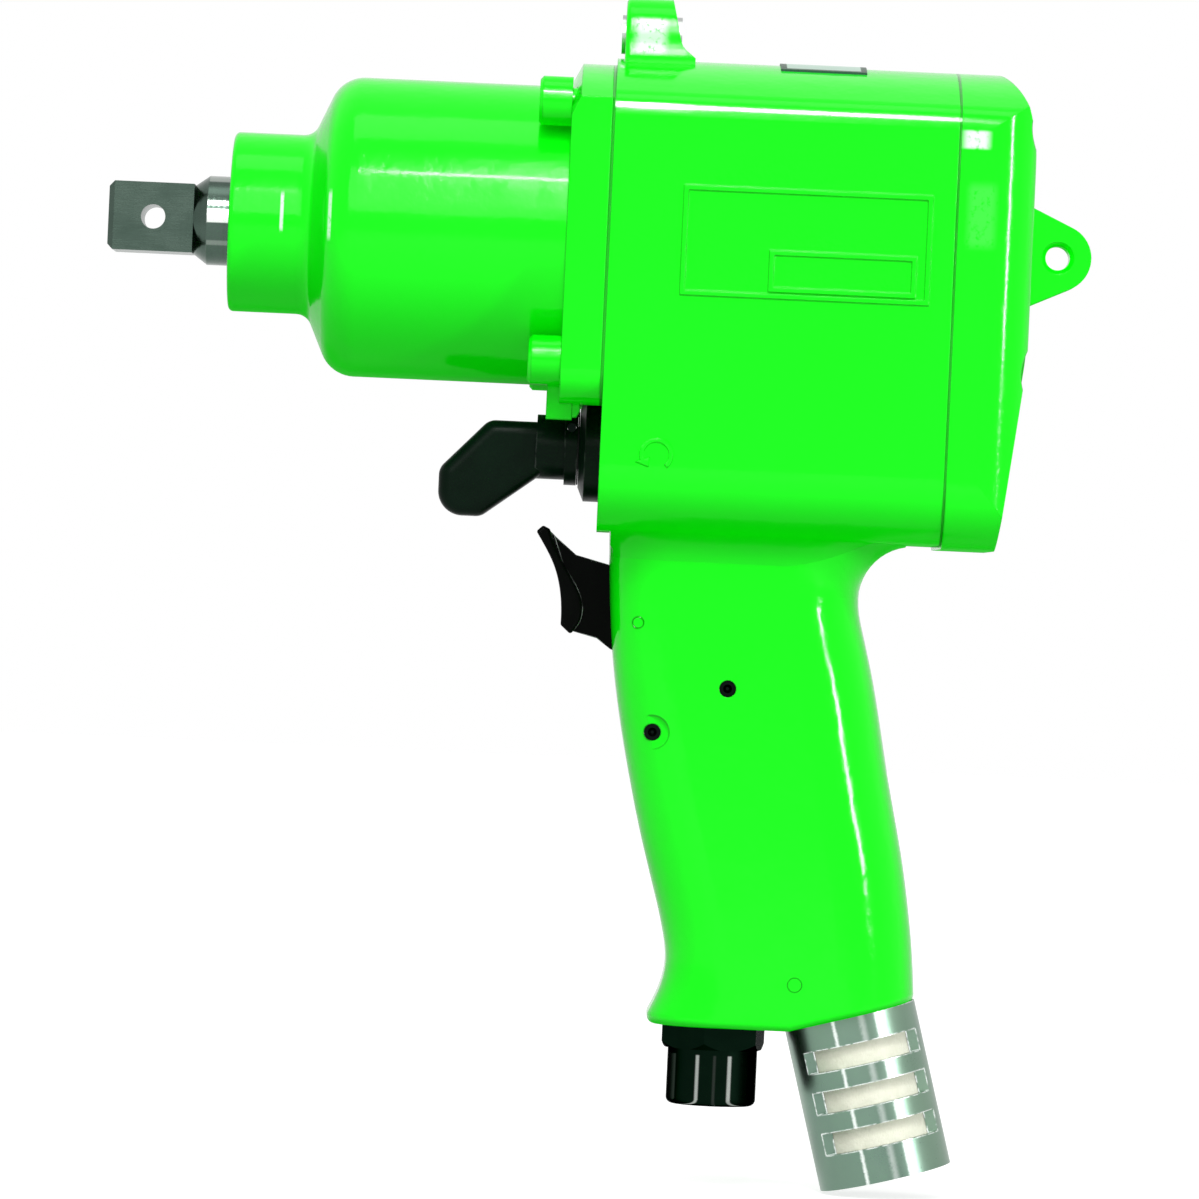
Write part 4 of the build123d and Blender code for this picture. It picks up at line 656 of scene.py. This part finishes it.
# The wiper that fills the gap between the reversing lever and its collar
LEVER_AXIS_HEIGHT = -39.1
lever_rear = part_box("reverse_lever")[1][0] / MM
collar_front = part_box("reverse_collar")[0][0] / MM
turned(
    "lever_wiper",
    (lever_rear, 0, LEVER_AXIS_HEIGHT),
    BACK,
    [(4.3, 0.05), (6.7, 0.05), (6.8, 0.15), (6.7, collar_front - lever_rear - 0.05), (4.3, 0.3)],
    "housing",
    FINISHES["seal_rubber"],
    hollow=True,
)

# The heels of the stops that end the reversing lever's turn
HEEL_OUTLINE = [(86.8, -33.7), (88.0, -33.7), (88.6, -32.6), (88.6, -30.6), (86.8, -30.6)]
HEEL_WIDTH = 4.2
for side, start in (("left", -14.6), ("right", 10.4)):
    prism(
        f"lever_stop_heel_{side}",
        HEEL_OUTLINE,
        start,
        start + HEEL_WIDTH,
        0.3,
        "housing",
        GREEN,
    )

# Black plugs a little below the skin of the grip, in the two hollow spring pins, stand in for
# the shade inside them
SHADE_PLUG_PROFILE = [(0.78, 12.6), (0.78, 14.9), (0.6, 15.1), (0.3, 14.9)]
PIN_RADIUS = 1.5
low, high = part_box("grip_roll_pins")
pin_places = (
    (high[0] / MM - PIN_RADIUS, high[2] / MM - PIN_RADIUS),
    (low[0] / MM + PIN_RADIUS, low[2] / MM + PIN_RADIUS),
)
for number, (pin_x, pin_z) in enumerate(pin_places, 1):
    for side, outward in (("left", LEFT), ("right", RIGHT)):
        turned(
            f"spring_pin_shade_plug_{number}_{side}",
            (pin_x, 0, pin_z),
            outward,
            SHADE_PLUG_PROFILE,
            "housing",
            FINISHES["black_steel"],
        )

# The fillet that joins the trigger's web to the back of its blade, as points along the
# trigger's slide and up from it
SLIDE_START = (95.3, -67.2)
SLIDE_ANGLE = math.radians(-14)
FILLET_OUTLINE = (
    (-13.9, 9.5),
    (-12.9, 9.0),
    (-11.6, 7.2),
    (-9.4, 4.0),
    (-10.8, 4.4),
    (-12.7, 7.2),
)
FILLET_HALF_WIDTH = 6.4


def beside_slide(along, up):
    """A point in the side plane from distances along the trigger's slide and up from it."""
    cosine, sine = math.cos(SLIDE_ANGLE), math.sin(SLIDE_ANGLE)
    return SLIDE_START[0] + along * cosine - up * sine, SLIDE_START[1] + along * sine + up * cosine


prism(
    "trigger_web_fillet",
    [beside_slide(*spot) for spot in FILLET_OUTLINE],
    FILLET_HALF_WIDTH,
    -FILLET_HALF_WIDTH,
    0.2,
    "trigger",
    FINISHES["black_plastic"],
)


# ---------------------------------------------------------------- camera, stage and lamps
VIEW_CENTRE = Vector((0.0938, 0, -0.0669))
VIEW_DISTANCE = 1.5
VIEW_ROLL = math.radians(2.6)
VIEW_WIDTH = 0.2222
SENSOR_WIDTH = 36.0
camera = bpy.data.objects.new("camera", bpy.data.cameras.new("camera"))
bpy.context.scene.collection.objects.link(camera)
camera.data.sensor_width = SENSOR_WIDTH
camera.data.lens = SENSOR_WIDTH * VIEW_DISTANCE / VIEW_WIDTH
camera.data.clip_start = 0.05
camera.matrix_world = Matrix.Translation(VIEW_CENTRE - Vector((0, VIEW_DISTANCE, 0))) @ (
    Matrix.Rotation(-VIEW_ROLL, 4, "Y") @ Matrix.Rotation(math.radians(90), 4, "X")
)
bpy.context.scene.camera = camera


def seen_directly(shading):
    """1 for the rays that show the backdrop itself, to the camera, in metal or through glass."""
    seen = shading.node("ShaderNodeLightPath", output="Is Camera Ray")
    rays = seen.socket.node.outputs
    for kind in ("Is Glossy Ray", "Is Transmission Ray"):
        inputs = {0: seen, 1: Signal(shading, rays[kind])}
        seen = shading.node("ShaderNodeMath", inputs, operation="MAXIMUM")
    return seen


def strength_between(shading, lighting, direct):
    """The strength lighting for rays that light the tool, and direct for the others."""
    inputs = {"Value": seen_directly(shading), "To Min": lighting, "To Max": direct}
    return shading.node("ShaderNodeMapRange", inputs)


WORLD_LIGHT = 0.5
world = bpy.data.worlds.new("studio")
bpy.context.scene.world = world
world.use_nodes = True
studio = Shading(world.node_tree)
background = world.node_tree.nodes["Background"]
studio.connect(WHITE, background.inputs["Color"])
studio.connect(strength_between(studio, WORLD_LIGHT, 1.0), background.inputs["Strength"])

FLOOR_GLOW = 0.72
FLOOR_REACH = 4.0
FLOOR_DROP = 0.0005
floor_mesh = bpy.data.meshes.new("floor")
floor_maker = bmesh.new()
bmesh.ops.create_grid(floor_maker, x_segments=1, y_segments=1, size=FLOOR_REACH)
floor_maker.to_mesh(floor_mesh)
floor_maker.free()
floor = bpy.data.objects.new("floor", floor_mesh)
bpy.context.scene.collection.objects.link(floor)
floor.location = (0, 0, cad_bounds[0][2] - FLOOR_DROP)
paper = Finish("floor_paper", Roughness=0.9, Specular_IOR_Level=0.05, Emission_Strength=1.0)
paper.set(
    Base_Color=paper.mix(paper.noise(40), colour(0.55, 0.55, 0.55), colour(0.57, 0.57, 0.57)),
    Emission_Color=paper.mix(strength_between(paper, 0.0, FLOOR_GLOW), BLACK, WHITE),
)
floor_mesh.materials.append(paper.material)


def softbox(name, origin, size, power):
    """A rectangular lamp that faces the middle of the tool."""
    lamp = bpy.data.lights.new(name, "AREA")
    lamp.shape = "RECTANGLE"
    lamp.size, lamp.size_y = size
    lamp.energy = power
    box = bpy.data.objects.new(name, lamp)
    bpy.context.scene.collection.objects.link(box)
    aim = (VIEW_CENTRE - Vector(origin)).to_track_quat("-Z", "Y")
    box.matrix_world = Matrix.Translation(Vector(origin)) @ aim.to_matrix().to_4x4()


# A broad key from above the viewer, a soft top light, and four small boxes for the bright lines
softbox("key", (-0.25, -1.5, 0.75), (1.0, 1.0), 9.5)
softbox("overhead", (0.1, -0.2, 1.4), (1.0, 0.6), 4.0)
softbox("crease_box", (0.15, -1.0, 0.87), (0.13, 0.4), 4.2)
softbox("case_box", (0.047, -1.0, 0.87), (0.072, 0.045), 1.0)
softbox("side_box", (1.17, -0.73, 0.1), (0.11, 0.16), 4.5)
softbox("lug_box", (0.104, -1.065, 0.786), (0.02, 0.9), 2.6)

bpy.context.scene.view_settings.view_transform = "Standard"
